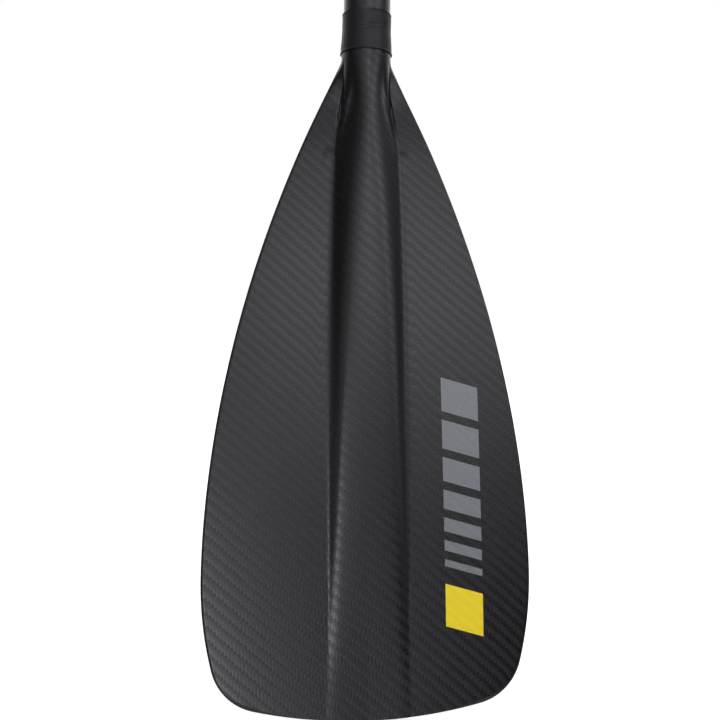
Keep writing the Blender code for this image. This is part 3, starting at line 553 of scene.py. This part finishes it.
SHAFT_RADIUS = 14.5 * MM
SLEEVE_WALL = 0.45 * MM
SLEEVE_TOP = 13.5 * MM
SLEEVE_FOOT = -10.0 * MM
SLEEVE_LOOSE = 0.25 * MM
SLEEVE_STEP_END = 5.5 * MM
SLEEVE_GLUE = 0.04 * MM
SLEEVE_ROWS = 94
SLEEVE_SIDES = 180
BEADS = ((SLEEVE_FOOT, 0.3 * MM, 1.1 * MM), (SLEEVE_TOP, 0.15 * MM, 0.8 * MM))
WRINKLE = 0.1 * MM
WRINKLES = ((1.3, 0.16, 0.0, 0.8), (5.0, 0.25, 7.0, 0.35))
CREASE_WIDTH = 0.42 * MM
CREASE_SLANT = 0.012 * MM
CREASES = (
    (4.3 * MM, -10.0, 30.0, 0.2 * MM), (2.0 * MM, -6.0, 26.0, 0.2 * MM), (1.2 * MM, 170.0, 40.0, 0.16 * MM),
    (4.4 * MM, -110.0, 30.0, 0.14 * MM), (6.4 * MM, 130.0, 24.0, 0.1 * MM),
)


def sleeve_radius(height):
    """Radius of the stretched sleeve over the shaft, the step and the neck."""
    over_shaft = SHAFT_RADIUS + SLEEVE_LOOSE + SLEEVE_WALL
    over_neck = NECK_RADIUS + SLEEVE_LOOSE + SLEEVE_WALL
    radius = mix(over_neck, over_shaft, smooth_step(SLEEVE_FOOT, SLEEVE_STEP_END, height))
    for level, proud, width in BEADS:
        radius += proud * math.exp(-(((height - level) / width) ** 2) * 2)
    return radius


heights = [mix(SLEEVE_FOOT, SLEEVE_TOP, row / SLEEVE_ROWS) for row in range(SLEEVE_ROWS + 1)]
outside = [(sleeve_radius(height), height) for height in heights]
inside = [(NECK_RADIUS + SLEEVE_GLUE, SLEEVE_FOOT), (NECK_RADIUS + SLEEVE_GLUE, 0.2 * MM)]
inside += [(SHAFT_RADIUS + SLEEVE_GLUE, 0.3 * MM), (SHAFT_RADIUS + SLEEVE_GLUE, SLEEVE_TOP)]
bm = spun(outside + inside[::-1], SLEEVE_SIDES)
for vert in bm.verts:
    out = Vector((vert.co.x, vert.co.y, 0)).normalized()
    height = vert.co.z
    # The inner wall stays round.
    if vert.co.xy.length < sleeve_radius(height) - 0.02 * MM:
        continue
    swell = 0.0
    for about, along, shift, share in WRINKLES:
        swell += share * noise.noise(Vector((out.x * about, out.y * about, height / MM * along + shift)))
    vert.co += out * WRINKLE * swell
    facing = math.degrees(math.atan2(out.x, -out.y))
    for level, middle, reach, depth in CREASES:
        aside = (facing - middle + 180) % 360 - 180
        across = (height - level - CREASE_SLANT * aside) / CREASE_WIDTH
        vert.co -= out * depth * math.exp(-across ** 2 - (aside / reach) ** 2)
sleeve = stand_in(finished("heat_shrink_sleeve", bm), "shrink_sleeve")

# %% [markdown]
# The tubes, the collar and the small metal pieces already have the right form as solids. Their meshes are
# loose triangles with hard edges, though, and no real piece has a perfectly sharp edge. So each is copied,
# its triangles are joined, its flat parts are made one face again, and on all but the two tubes a narrow
# bevel rounds its edges. The collar is first cut along the planes of its ears, so that its long facets shade
# evenly beside them.

# %% Copy a solid and round its edges
def rounded_copy(name, node, bevel, sharp=30, cuts=()):
    """A joined copy of a solid, cut along planes, with a narrow bevel along its sharp edges."""
    bm = bmesh.new()
    bm.from_mesh(frame["nodes"][node].data)
    bmesh.ops.remove_doubles(bm, verts=bm.verts, dist=1e-6)
    bmesh.ops.dissolve_limit(
        bm, angle_limit=math.radians(0.5), verts=bm.verts, edges=bm.edges, delimit={"NORMAL"}
    )
    for axis, place in cuts:
        plane = Vector((axis == "X", axis == "Y", axis == "Z"))
        bmesh.ops.bisect_plane(
            bm, geom=bm.verts[:] + bm.edges[:] + bm.faces[:], dist=1e-6, plane_co=plane * place, plane_no=plane
        )
    piece = finished(name, bm, sharp, outward=False)
    if bevel:
        edge = piece.modifiers.new("rounded edges", "BEVEL")
        edge.width = bevel
        edge.segments = 2
        edge.limit_method = "ANGLE"
        edge.angle_limit = math.radians(sharp)
        edge.use_clamp_overlap = True
        edge.harden_normals = True
    return stand_in(piece, node)


lower_tube = rounded_copy("lower_tube", "lower_shaft", 0)
upper_tube = rounded_copy("upper_tube", "upper_shaft", 0)
EAR_CUTS = (("Y", 9 * MM), ("Y", -9 * MM), ("Z", 1074 * MM), ("Z", 1110 * MM))
collar = rounded_copy("split_collar", "clamp_collar", 0.22 * MM, cuts=EAR_CUTS)
liner = rounded_copy("keyed_liner", "collar_liner", 0.12 * MM)
lever = rounded_copy("cam_lever", "clamp_lever", 0.3 * MM)
screw = rounded_copy("socket_screw", "clamp_screw", 0.15 * MM)
washer = rounded_copy("flat_washer", "screw_washer", 0.12 * MM)
plate = rounded_copy("cam_plate", "wear_plate", 0.15 * MM)
barrel = rounded_copy("cross_barrel", "lever_barrel", 0.2 * MM)

# %% [markdown]
# ## The palm grip
#
# The grip is the one piece that a bare hand holds all day, so it has no straight line in it. Its sections
# are ovals that grow from the round socket into a wide bar, and shrink again over the crown. Rings of
# points at many heights, joined by faces, give the form, and a copy of the upper rings makes the soft pad
# that is moulded over the hard core.

# %% Sizes and sections of the grip
GRIP_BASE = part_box("grip_core")[0].z
GRIP_HEIGHT = 88 * MM
GRIP_WIDTH = 108 * MM
GRIP_DEPTH = 35 * MM
SOCKET_RADIUS = 15.8 * MM
NECK_TOP = 20 * MM
NECK_FLARE = 1.25
BAR_WIDEST = 60 * MM
ROUND_POWER = 2.0
BAR_POWER = 2.3
CROWN_POWER = 2.2
PAD_FROM = 50 * MM
PAD_WALL = 2 * MM
SOCKET_BORE = 13.3 * MM
SOCKET_DEPTH = 30 * MM
GRIP_SIDES = 72
STEM_FROM = 4 * MM
STEM_ROWS = 4
BAR_ROWS = 22
CORE_CROWN_ROWS = 12
PAD_CROWN_ROWS = 34
CROWN_CROWDING = 1.8
LAST_CROWN_RING = 0.9985
FOOT_ROUNDING = ((0.0, 0.6 * MM), (0.25 * MM, 0.15 * MM), (0.8 * MM, 0.0))
SEAM_ROUNDING = ((0.0, 0.45 * MM), (0.15 * MM, 0.12 * MM))
SEAM_GAP = 0.6 * MM


def grip_size(level):
    """Half width, half depth and squareness of the grip at a height above its foot."""
    share = smooth_step(NECK_TOP, BAR_WIDEST, level) ** NECK_FLARE
    up = min(max(level - BAR_WIDEST, 0.0) / (GRIP_HEIGHT - BAR_WIDEST), 1.0)
    crown = (1 - up ** CROWN_POWER) ** (1 / CROWN_POWER)
    half_width = mix(SOCKET_RADIUS, GRIP_WIDTH / 2, share) * crown
    half_depth = mix(SOCKET_RADIUS, GRIP_DEPTH / 2, share) * crown
    return half_width, half_depth, mix(ROUND_POWER, BAR_POWER, share)


def circle(bm, radius):
    """A bare ring of points round the axis."""
    return bmesh.ops.create_circle(bm, cap_ends=False, radius=radius, segments=GRIP_SIDES)["verts"]


def grip_ring(bm, level, shrink=0.0):
    """One oval ring of the grip, pulled in from all sides of the pad by shrink."""
    half_width, half_depth, power = grip_size(level)
    height = level
    if shrink:
        half_width *= 1 - shrink / (GRIP_WIDTH / 2)
        half_depth *= 1 - shrink / (GRIP_DEPTH / 2)
        height = mix(PAD_FROM, level, 1 - shrink / (GRIP_HEIGHT - PAD_FROM))
    ring = circle(bm, 1.0)
    for vert in ring:
        cos, sin = vert.co.xy.normalized()
        x = math.copysign(abs(cos) ** (2 / power), cos) * half_width
        y = math.copysign(abs(sin) ** (2 / power), sin) * half_depth
        vert.co = (x, y, GRIP_BASE + height)
    return ring


def ring_edges(ring):
    """The edges that join a ring's own points."""
    edges = {edge for vert in ring for edge in vert.link_edges}
    return [edge for edge in edges if all(vert in ring for vert in edge.verts)]


def bridged(bm, rings):
    """Join a run of rings by faces, and close the first and the last."""
    edge_rings = [ring_edges(ring) for ring in rings]
    for lower, upper in zip(edge_rings, edge_rings[1:]):
        bmesh.ops.bridge_loops(bm, edges=lower + upper)
    for edges in (edge_rings[0], edge_rings[-1]):
        bmesh.ops.contextual_create(bm, geom=edges)


def crown_levels(count):
    """Heights from the pad's edge to the crown, closer together near the top."""
    shares = [1 - (1 - step / count) ** CROWN_CROWDING for step in range(count)]
    return [mix(PAD_FROM, GRIP_HEIGHT, share) for share in shares] + [GRIP_HEIGHT * LAST_CROWN_RING]


print("the grip's bar is", GRIP_WIDTH / MM, "mm wide and stands", round(GRIP_BASE, 3), "m up")

# %% Build the hard core and the soft pad
bm = bmesh.new()
rings = []
for height in (SOCKET_DEPTH, 0.0):
    ring = circle(bm, SOCKET_BORE)
    bmesh.ops.translate(bm, verts=ring, vec=(0, 0, GRIP_BASE + height))
    rings.append(ring)
for level, shrink in FOOT_ROUNDING:
    ring = grip_ring(bm, level)
    bmesh.ops.scale(bm, verts=ring, vec=(1 - shrink / SOCKET_RADIUS, 1 - shrink / SOCKET_RADIUS, 1))
    rings.append(ring)
rings += [grip_ring(bm, mix(STEM_FROM, NECK_TOP, row / STEM_ROWS)) for row in range(STEM_ROWS)]
rings += [grip_ring(bm, mix(NECK_TOP, PAD_FROM - FIT, row / BAR_ROWS)) for row in range(BAR_ROWS + 1)]
rings += [grip_ring(bm, level, PAD_WALL + FIT) for level in crown_levels(CORE_CROWN_ROWS)]
bridged(bm, rings)
grip_body = stand_in(finished("grip_body", bm), "grip_core")

bm = bmesh.new()
rings = [grip_ring(bm, level, PAD_WALL) for level in reversed(crown_levels(CORE_CROWN_ROWS))]
rings += [grip_ring(bm, PAD_FROM + level, shrink) for level, shrink in SEAM_ROUNDING]
for row, level in enumerate(crown_levels(PAD_CROWN_ROWS)):
    rings.append(grip_ring(bm, level + SEAM_GAP * (1 - row / PAD_CROWN_ROWS)))
bridged(bm, rings)
soft_pad = stand_in(finished("soft_pad", bm), "grip_pad")

# %% [markdown]
# ## Finishes
#
# A finish is a small network, or tree, of nodes that ends in one Principled shader. Short helpers keep the
# networks readable: they do a step of arithmetic, make soft noise, blend two colours or raise the surface. Each
# adds its node to the tree that its inputs come from, so a finish reads like a sum.

# %% Helpers for materials
def plug(value, socket):
    """Feed a socket with another node's output or with a plain value."""
    if isinstance(value, bpy.types.NodeSocket):
        socket.id_data.links.new(value, socket)
    else:
        socket.default_value = value


def add_node(tree, kind, inputs=None, **settings):
    """Add a node of a kind, set its settings, and feed its inputs with numbers or with other nodes' outputs."""
    node = tree.nodes.new("ShaderNode" + kind)
    for name, value in settings.items():
        setattr(node, name, value)
    for key, value in (inputs or {}).items():
        plug(value, node.inputs[key])
    return node


def follow(kind, inputs, **settings):
    """Add a node to the tree that its inputs come from."""
    tree = next(value.id_data for value in inputs.values() if isinstance(value, bpy.types.NodeSocket))
    return add_node(tree, kind, inputs, **settings)


def step(operation, *values):
    """One step of arithmetic."""
    return follow("Math", dict(enumerate(values)), operation=operation).outputs[0]


def times(a, b):
    """The product of two values."""
    return step("MULTIPLY", a, b)


def new_material(name, **sockets):
    """A material, its shader, and the place of a point; sockets are named with underscores for spaces."""
    finish = bpy.data.materials.new(name)
    finish.use_nodes = True
    shader = finish.node_tree.nodes["Principled BSDF"]
    for key, value in sockets.items():
        shader.inputs[key.replace("_", " ")].default_value = value
    return finish, shader, add_node(finish.node_tree, "TexCoord").outputs["Object"]


def sides_of(vector):
    """The three numbers of a vector, by the names of their axes."""
    return follow("SeparateXYZ", {"Vector": vector}).outputs


def cloud(where, size, detail=2.0, rough=0.5):
    """Soft noise whose blotches are about one size across, in metres."""
    inputs = {"Vector": where, "Scale": 1 / size, "Detail": detail, "Roughness": rough}
    return follow("TexNoise", inputs).outputs["Fac"]


def spread(value, low, high, to_low, to_high):
    """Take a value from one range to another, and stop it at the ends."""
    inputs = {"Value": value, "From Min": low, "From Max": high, "To Min": to_low, "To Max": to_high}
    return follow("MapRange", inputs).outputs["Result"]


def colour_mix(share, first, second):
    """Blend two colours."""
    return follow("Mix", {0: share, 6: first, 7: second}, data_type="RGBA").outputs[2]


def stretched(where, scale):
    """A place with its sides scaled, so that a pattern drawn on it is stretched."""
    return follow("Mapping", {"Vector": where, "Scale": scale}).outputs["Vector"]


def cell_pattern(where, size, feature, **more):
    """Cells about one size across, in metres: the distance from a cell's middle or from its edge."""
    inputs = {"Vector": where, "Scale": 1 / size, **more}
    return follow("TexVoronoi", inputs, feature=feature).outputs["Distance"]


def raise_surface(shader, height, depth, socket="Normal"):
    """Let a height pattern, from 0 to 1, stand a depth in metres out of the surface."""
    inputs = {"Height": height, "Distance": depth, "Strength": 1.0}
    plug(follow("Bump", inputs).outputs["Normal"], shader.inputs[socket])


def dress(shader, colour, rough, height, depth):
    """Give a shader its colour, its roughness and its height pattern."""
    plug(colour, shader.inputs["Base Color"])
    plug(rough, shader.inputs["Roughness"])
    raise_surface(shader, height, depth)


def paint(finish, *pieces):
    """Give pieces a finish."""
    for piece in pieces:
        piece.data.materials.append(finish)


print("helpers for finishes are ready")

# %% [markdown]
# ### Woven carbon
#
# Carbon cloth of this kind is a 2/2 twill: flat tows two millimetres wide, each passing over two crossing
# tows and then under two, one step further along in every row. That step draws the diagonal lines which the
# eye sees first. Both sets of tows are written as waves: the upright ones rise where the crossing ones
# sink. The higher wave at a point is the tow that shows there.

# %% The twill as arithmetic
TOW = 1.9 * MM


def twill(across, along, belly=0.9):
    """Which tow shows at a point, 1 for upright and 0 for crossing, and its height."""
    u = step("DIVIDE", across, TOW)
    v = step("DIVIDE", along, TOW)
    waves = []
    for own, other, sign in ((u, v, 1.0), (v, u, -1.0)):
        count = step("FLOOR", own)
        turn = times(step("ADD", other, count), math.pi / 2)
        wave = times(step("SINE", turn), sign)
        edge = step("SUBTRACT", step("FRACT", own), 0.5)
        round_top = times(times(edge, edge), -4 * belly)
        waves.append(step("ADD", wave, round_top))
    upright = step("GREATER_THAN", waves[0], waves[1])
    height = spread(step("MAXIMUM", *waves), -1.2, 1.0, 0.0, 1.0)
    return upright, height


print("the diagonal lines of the cloth are", round(4 * TOW / math.sqrt(2) / MM, 2), "mm apart")

# %% [markdown]
# On the blade the cloth lies under a satin clear coat. The tows are nearly black. The upright ones are painted a
# little lighter: a painted sheen that stands in for the way the fibres mirror light along their length. The
# resin is never quite even, so the gloss and the tone wander slowly over the panel. No tow is laid quite
# straight, so each strays a little from its line. Towards the tip the coat is thinner, and the weave stands out
# more there. The generic bars printed on the right panel, seven grey and one yellow, are slanted like those on
# much sports gear. They are drawn with the same cloth coordinates, so that they stay in the surface.

# %% Woven carbon for the blade
CLOTH_TURN = math.radians(-4.5)
STRAY = 0.9 * MM
STRAY_SIZES = (("X", 2.6 * MM), ("Y", 3.3 * MM))
BLADE_BELLY = 0.25
BLADE_RELIEF = 0.05 * MM
BARE_FROM, BARE_TO, BARE_MOST = -0.25, -0.37, 1.5
BLADE_WANDER = (0.3, 0.7, 0.8, 1.15)
BLADE_ROUGHNESS = (0.2, 0.8, 0.39, 0.47)
UPRIGHT_SHINE = -0.15
BLADE_TONES = ((0.0015, 0.0015, 0.0018, 1), (0.0065, 0.0065, 0.0075, 1))
BAR_GREY = (0.17, 0.18, 0.19, 1.0)
BAR_YELLOW = (0.86, 0.66, 0.01, 1.0)
BAR_INNER = 45 * MM
BAR_WIDTH = 22 * MM
BAR_SLANT = 0.28
BAR_TOP = -200 * MM
BAR_HEIGHTS = [height * MM for height in (20, 17, 14, 11, 8, 6, 4, 24)]
BAR_GAP = 5 * MM


def blade_carbon(name, with_bars):
    """The coated twill of one face of the blade, with or without the row of bars."""
    finish, shader, where = new_material(
        name, IOR=1.5, Coat_Weight=0.6, Coat_Roughness=0.2, Coat_IOR=1.5, Specular_IOR_Level=0.5
    )
    uv = add_node(finish.node_tree, "UVMap", uv_map="cloth").outputs["UV"]
    sides = sides_of(uv)
    turned = follow("Mapping", {"Vector": uv, "Rotation": (0, 0, CLOTH_TURN)}).outputs["Vector"]
    woven = sides_of(turned)
    strayed = [step("MULTIPLY_ADD", cloud(where, size), STRAY, woven[axis]) for axis, size in STRAY_SIZES]
    upright, height = twill(*strayed, belly=BLADE_BELLY)
    slow = cloud(where, 60 * MM, 3.0)
    fine = cloud(where, 1.3 * MM, 3.0)
    # The fine noise is the cloth's random tone; the lighter share of the upright tows is painted sheen.
    tone = step("MULTIPLY_ADD", fine, 0.35, times(upright, 0.65))
    tone = times(tone, spread(slow, *BLADE_WANDER))
    colour = colour_mix(tone, *BLADE_TONES)
    if with_bars:
        slanted = step("MULTIPLY_ADD", sides["X"], BAR_SLANT, sides["Y"])
        beside = step("COMPARE", sides["X"], BAR_INNER + BAR_WIDTH / 2, BAR_WIDTH / 2)
        top = BAR_TOP
        for number, tall in enumerate(BAR_HEIGHTS):
            last = number == len(BAR_HEIGHTS) - 1
            top -= BAR_GAP if last else 0.0
            inside = step("COMPARE", slanted, top - tall / 2, tall / 2)
            inside = times(inside, beside)
            colour = colour_mix(inside, colour, BAR_YELLOW if last else BAR_GREY)
            top -= tall + BAR_GAP
    bare = spread(sides["Y"], BARE_FROM, BARE_TO, 1.0, BARE_MOST)
    shine = times(times(upright, UPRIGHT_SHINE), bare)
    rough = step("ADD", shine, spread(slow, *BLADE_ROUGHNESS))
    relief = times(step("MULTIPLY_ADD", fine, 0.5, height), bare)
    dress(shader, colour, rough, relief, BLADE_RELIEF)
    raise_surface(shader, relief, BLADE_RELIEF, socket="Coat Normal")
    return finish


paint(blade_carbon("woven_carbon_ribbed_face", True), back_face)
paint(blade_carbon("woven_carbon_smooth_face", False), power_face)
print("bars on the right panel:", len(BAR_HEIGHTS))

# %% [markdown]
# The shafts are wound from the same cloth. On a round tube the cloth's width runs round the axis, so the
# angle about the axis times the radius takes the place of the UV map. The sliding tube carries plain tick
# marks every 20 millimetres, a longer one every 100, so that a length can be found again.

# %% Carbon for the tubes
UPPER_RADIUS = 13 * MM
TICK_STEP = 20 * MM
TICK_WIDTH = 0.6 * MM
STEPS_TO_LONG = 5.0
TICK_REACH, LONG_EXTRA = 0.2, 0.16
TICK_COLOUR = (0.38, 0.39, 0.4, 1)
TUBE_RELIEF = 0.035 * MM
TUBE_WANDER = (0.3, 0.7, 0.7, 1.0)
TUBE_ROUGHNESS = (0.2, 0.8, 0.3, 0.42)
TUBE_TONES = ((0.008, 0.008, 0.009, 1), (0.022, 0.022, 0.0245, 1))


def tube_carbon(name, radius, ticks=False):
    """Twill wound on a tube of a given radius, with or without tick marks on its front."""
    finish, shader, where = new_material(
        name, IOR=1.5, Coat_Weight=1.0, Coat_Roughness=0.22, Coat_IOR=1.5, Specular_IOR_Level=0.2
    )
    sides = sides_of(where)
    round_about = times(step("ARCTAN2", sides["Y"], sides["X"]), radius)
    upright, height = twill(round_about, sides["Z"])
    slow = cloud(where, 45 * MM, 3.0)
    fine = cloud(where, 0.7 * MM, 3.0)
    # The fine noise is random tone; the lighter share of the upright tows is painted sheen, as on the blade.
    tone = step("MULTIPLY_ADD", fine, 0.6, times(upright, 0.5))
    colour = colour_mix(times(tone, spread(slow, *TUBE_WANDER)), *TUBE_TONES)
    if ticks:
        facing = step("ARCTAN2", sides["X"], times(sides["Y"], -1.0))
        steps = step("DIVIDE", sides["Z"], TICK_STEP)
        mark = step("COMPARE", step("FRACT", steps), 0.5, TICK_WIDTH / TICK_STEP / 2)
        fifths = step("FRACT", step("DIVIDE", steps, STEPS_TO_LONG))
        reach = step("MULTIPLY_ADD", step("COMPARE", fifths, 0.5, 0.1), LONG_EXTRA, TICK_REACH)
        beside = step("LESS_THAN", step("ABSOLUTE", facing), reach)
        colour = colour_mix(times(mark, beside), colour, TICK_COLOUR)
    relief = step("MULTIPLY_ADD", fine, 0.4, height)
    dress(shader, colour, spread(slow, *TUBE_ROUGHNESS), relief, TUBE_RELIEF)
    return finish


paint(tube_carbon("wound_carbon_lower", SHAFT_RADIUS), lower_tube)
paint(tube_carbon("wound_carbon_upper", UPPER_RADIUS, ticks=True), upper_tube)
print("tows round the lower tube:", round(math.tau * SHAFT_RADIUS / TOW))

# %% [markdown]
# ### Plastics, rubber and metal
#
# The sleeve is soft black plastic with fine scuffs along the shaft. The clamp is glass-filled nylon, which
# comes out of its mould with a fine, slightly sparkling grain. The pad of the grip is rubber with a pebbled
# surface. The steel pieces are small, and fine lines in one direction stand for the marks of the tool.

# %% Heat-shrink, nylon, acetal and rubber
RIB_MIDDLE = math.radians(8)
RIB_REACH = math.radians(13)
RIB_COUNT = 72
RIB_LEVEL = 1092.5 * MM
RIB_HALF = 9 * MM
RIB_HEIGHT = 0.3 * MM
PEBBLE = 1.6 * MM
SLEEVE_TONES = ((0.006, 0.006, 0.007, 1), (0.016, 0.016, 0.018, 1))
RUBBER_TONES = ((0.012, 0.012, 0.013, 1), (0.028, 0.028, 0.03, 1))
# Dark tone, light tone, roughness, and the size and the depth of the grain.
NYLON = ((0.010, 0.010, 0.011, 1), (0.026, 0.026, 0.028, 1), 0.46, 0.35 * MM, 0.02 * MM)
ACETAL = ((0.56, 0.56, 0.53, 1), (0.64, 0.64, 0.61, 1), 0.38, 2 * MM, 0.004 * MM)
COMPOSITE = ((0.03, 0.03, 0.03, 1), (0.08, 0.08, 0.078, 1), 0.6, 0.9 * MM, 0.04 * MM)


def sleeve_plastic():
    """Soft black plastic, scuffed along the shaft."""
    finish, shader, where = new_material("heat_shrink_plastic", IOR=1.48)
    scuff = cloud(stretched(where, (1, 1, 0.15)), 1.2 * MM, 4.0, 0.6)
    colour = colour_mix(scuff, *SLEEVE_TONES)
    rough = spread(scuff, 0.3, 0.7, 0.34, 0.5)
    dress(shader, colour, rough, cloud(where, 0.8 * MM, 3.0), 0.02 * MM)
    return finish


def finger_ribs(where):
    """Upright ribs where a finger pulls the lever's tip open, as a height from 0 to 1."""
    sides = sides_of(where)
    about = step("ARCTAN2", sides["Y"], times(sides["X"], -1.0))
    wave = step("MAXIMUM", step("SINE", times(about, RIB_COUNT)), 0.0)
    inside = step("COMPARE", about, RIB_MIDDLE, RIB_REACH)
    inside = times(inside, step("COMPARE", sides["Z"], RIB_LEVEL, RIB_HALF))
    return times(wave, inside)


def moulded_plastic(name, dark, light, rough, grain, depth, ribs=False):
    """A moulded plastic from its two tones, its roughness, and its grain's size and depth."""
    finish, shader, where = new_material(name, IOR=1.5)
    speckle = cloud(where, grain, 3.0, 0.6)
    colour = colour_mix(speckle, dark, light)
    rough = spread(cloud(where, 14 * MM), 0.3, 0.7, rough - 0.06, rough + 0.06)
    if ribs:
        speckle = step("MULTIPLY_ADD", finger_ribs(where), RIB_HEIGHT / depth, speckle)
    dress(shader, colour, rough, speckle, depth)
    return finish


def pebbled_rubber():
    """Soft rubber with round pebbles, a little dusty."""
    finish, shader, where = new_material("pebbled_rubber", IOR=1.5)
    cells = cell_pattern(where, PEBBLE, "SMOOTH_F1", Smoothness=0.6)
    colour = colour_mix(cloud(where, 9 * MM, 4.0), *RUBBER_TONES)
    rough = spread(cells, 0.0, 0.6, 0.55, 0.75)
    dress(shader, colour, rough, spread(cells, 0.0, 0.7, 1.0, 0.0), 0.12 * MM)
    return finish


nylon = moulded_plastic("filled_nylon", *NYLON)
composite = moulded_plastic("filled_composite", *COMPOSITE)
paint(nylon, collar, grip_body)
paint(moulded_plastic("ribbed_nylon", *NYLON, ribs=True), lever)
paint(moulded_plastic("natural_acetal", *ACETAL), liner)
paint(sleeve_plastic(), sleeve)
paint(pebbled_rubber(), soft_pad)
print("ribs on the lever's tip:", round(2 * RIB_REACH * RIB_COUNT / math.tau))

# %% Steel and foam
STEEL_TONES = ((0.5, 0.5, 0.51, 1), (0.66, 0.66, 0.66, 1))
FOAM_CELL = 0.7 * MM
FOAM_TONES = ((0.78, 0.75, 0.66, 1), (0.62, 0.58, 0.5, 1))


def turned_steel():
    """Steel with fine lines, the marks of a tool."""
    finish, shader, where = new_material("turned_steel", Metallic=1.0)
    lines = cloud(stretched(where, (0.12, 1, 1)), 0.25 * MM, 3.0, 0.7)
    colour = colour_mix(lines, *STEEL_TONES)
    dress(shader, colour, spread(lines, 0.3, 0.7, 0.22, 0.36), lines, 0.004 * MM)
    return finish


def cell_foam():
    """Pale foam with the edges of its cut cells showing."""
    finish, shader, where = new_material("closed_cell_foam", IOR=1.4)
    cells = cell_pattern(where, FOAM_CELL, "DISTANCE_TO_EDGE")
    shade = spread(cells, 0.0, 0.12, 0.0, 1.0)
    dress(shader, colour_mix(shade, *FOAM_TONES), 0.9, shade, 0.15 * MM)
    return finish


paint(turned_steel(), screw, washer, plate, barrel)
foam = cell_foam()
inner_finish = {
    "blade_core": foam, "lower_foam_plug": foam, "upper_foam_plug": foam,
    "blade_tang": composite, "upper_end_plug": nylon,
}
for name, finish in inner_finish.items():
    frame["nodes"][name].material_slots[0].material = finish
print("inner pieces finished:", len(inner_finish))

# %% [markdown]
# ## The studio
#
# The paddle stands on a pale floor in a white room. Satin black has hardly a colour of its own: what the eye
# reads is the room in its coat. So the room is bright in front and above, and falls off to the left, where
# the dark flank of the spine looks. What the camera sees behind the object is plain white. The floor is left
# out of what the coat mirrors, so that the lower half of the room shows there instead.

# %% Floor
FLOOR_DROP = 1 * MM
FLOOR_HALF = 6.0
FLOOR_GLOW = 0.64


def light_path(tree):
    """The kinds of ray, and 1 for those that carry what the camera sees directly."""
    path = add_node(tree, "LightPath").outputs
    return path, step("MAXIMUM", path["Is Camera Ray"], path["Is Transmission Ray"])


bm = bmesh.new()
bmesh.ops.create_grid(bm, x_segments=1, y_segments=1, size=FLOOR_HALF)
bmesh.ops.translate(bm, verts=bm.verts, vec=(0, 0, cad_box[0][2] - FLOOR_DROP))
floor = finished("studio_floor", bm, outward=False)
floor_paint, shader, _ = new_material("floor_paint", Base_Color=(0.8, 0.8, 0.8, 1), Roughness=0.8)
tree = floor_paint.node_tree
path, seen = light_path(tree)
shown = times(seen, FLOOR_GLOW)
glow = follow("Emission", {"Color": (1, 1, 1, 1), "Strength": shown})
lit = follow("AddShader", {0: shader.outputs[0], 1: glow.outputs[0]})
clear = add_node(tree, "BsdfTransparent")
parted = follow("MixShader", {0: path["Is Glossy Ray"], 1: lit.outputs[0], 2: clear.outputs[0]})
plug(parted.outputs[0], tree.nodes["Material Output"].inputs["Surface"])
paint(floor_paint, floor)
print("the floor lies", FLOOR_DROP / MM, "mm under the tip of the blade")

# %% [markdown]
# Each bright window of the room is a soft round spot: how far it is turned to the right of the front, how
# high it stands and how broad it is, all three in degrees, and then how bright it is. The windows show only in
# what the surfaces mirror. What they scatter comes from an even light all round, with the lamps on top.

# %% Room light
WINDOWS = (
    (8, 26, 10, 1.5), (47, 29, 14, 1.4), (-24, 35, 13, 0.6),
    (-13, -1, 8, 2.15), (-11, -14, 9, 1.8), (-48, 8, 11, 0.2),
    (125, 35, 18, 0.6), (-160, 30, 22, 0.9), (150, 5, 12, 0.6),
)
EVEN_LIGHT = 0.5
COOL_TINT = (0.945, 0.945, 1.0, 1)
BRIGHTER_BEHIND = (0.1, 0.9, 0.02, 0.35)
BRIGHTER_BELOW = (-0.3, -0.6, 0.0, 0.42)
world = bpy.data.worlds.new("studio")
scene.world = world
world.use_nodes = True
tree = world.node_tree
tree.nodes.clear()
path, seen = light_path(tree)
direction = add_node(tree, "TexCoord").outputs["Generated"]
sides = sides_of(direction)
room = spread(sides["Y"], *BRIGHTER_BEHIND)
room = step("ADD", room, spread(sides["Z"], *BRIGHTER_BELOW))
for azimuth, elevation, breadth, brightness in WINDOWS:
    pair = {0: direction, 1: towards(azimuth, elevation)}
    near = follow("VectorMath", pair, operation="DOT_PRODUCT").outputs["Value"]
    fall = step("DIVIDE", step("SUBTRACT", near, 1.0), math.radians(breadth) ** 2)
    room = step("MULTIPLY_ADD", step("EXPONENT", fall), brightness, room)
glossy = times(path["Is Glossy Ray"], room)
plain = times(step("SUBTRACT", 1.0, path["Is Glossy Ray"]), EVEN_LIGHT)
strength = step("MAXIMUM", seen, step("ADD", glossy, plain))
tint = colour_mix(seen, COOL_TINT, (1, 1, 1, 1))
background = follow("Background", {"Color": tint, "Strength": strength})
follow("OutputWorld", {"Surface": background.outputs[0]})
print("windows in the room:", len(WINDOWS))

# %% Lamps and the view's colours
def soft_box(name, place, aim, size, power):
    """A square lamp at a place, turned towards another."""
    data = bpy.data.lights.new(name, "AREA")
    data.shape = "SQUARE"
    data.size = size
    data.energy = power
    lamp = bpy.data.objects.new(name, data)
    lamp.visible_glossy = False
    turn = (Vector(place) - Vector(aim)).to_track_quat("Z", "Y")
    lamp.matrix_world = Matrix.Translation(place) @ turn.to_matrix().to_4x4()
    scene.collection.objects.link(lamp)


soft_box("key_lamp", (0.8, -2.6, 1.3), (0, 0, 0), 1.8, 13)
soft_box("top_lamp", (0.2, -1.2, 2.9), (0, 0, 0), 1.6, 46)
soft_box("back_lamp", (-0.9, 1.8, 1.6), (0, 0, 0.2), 1.6, 18)
scene.view_settings.view_transform = "Standard"
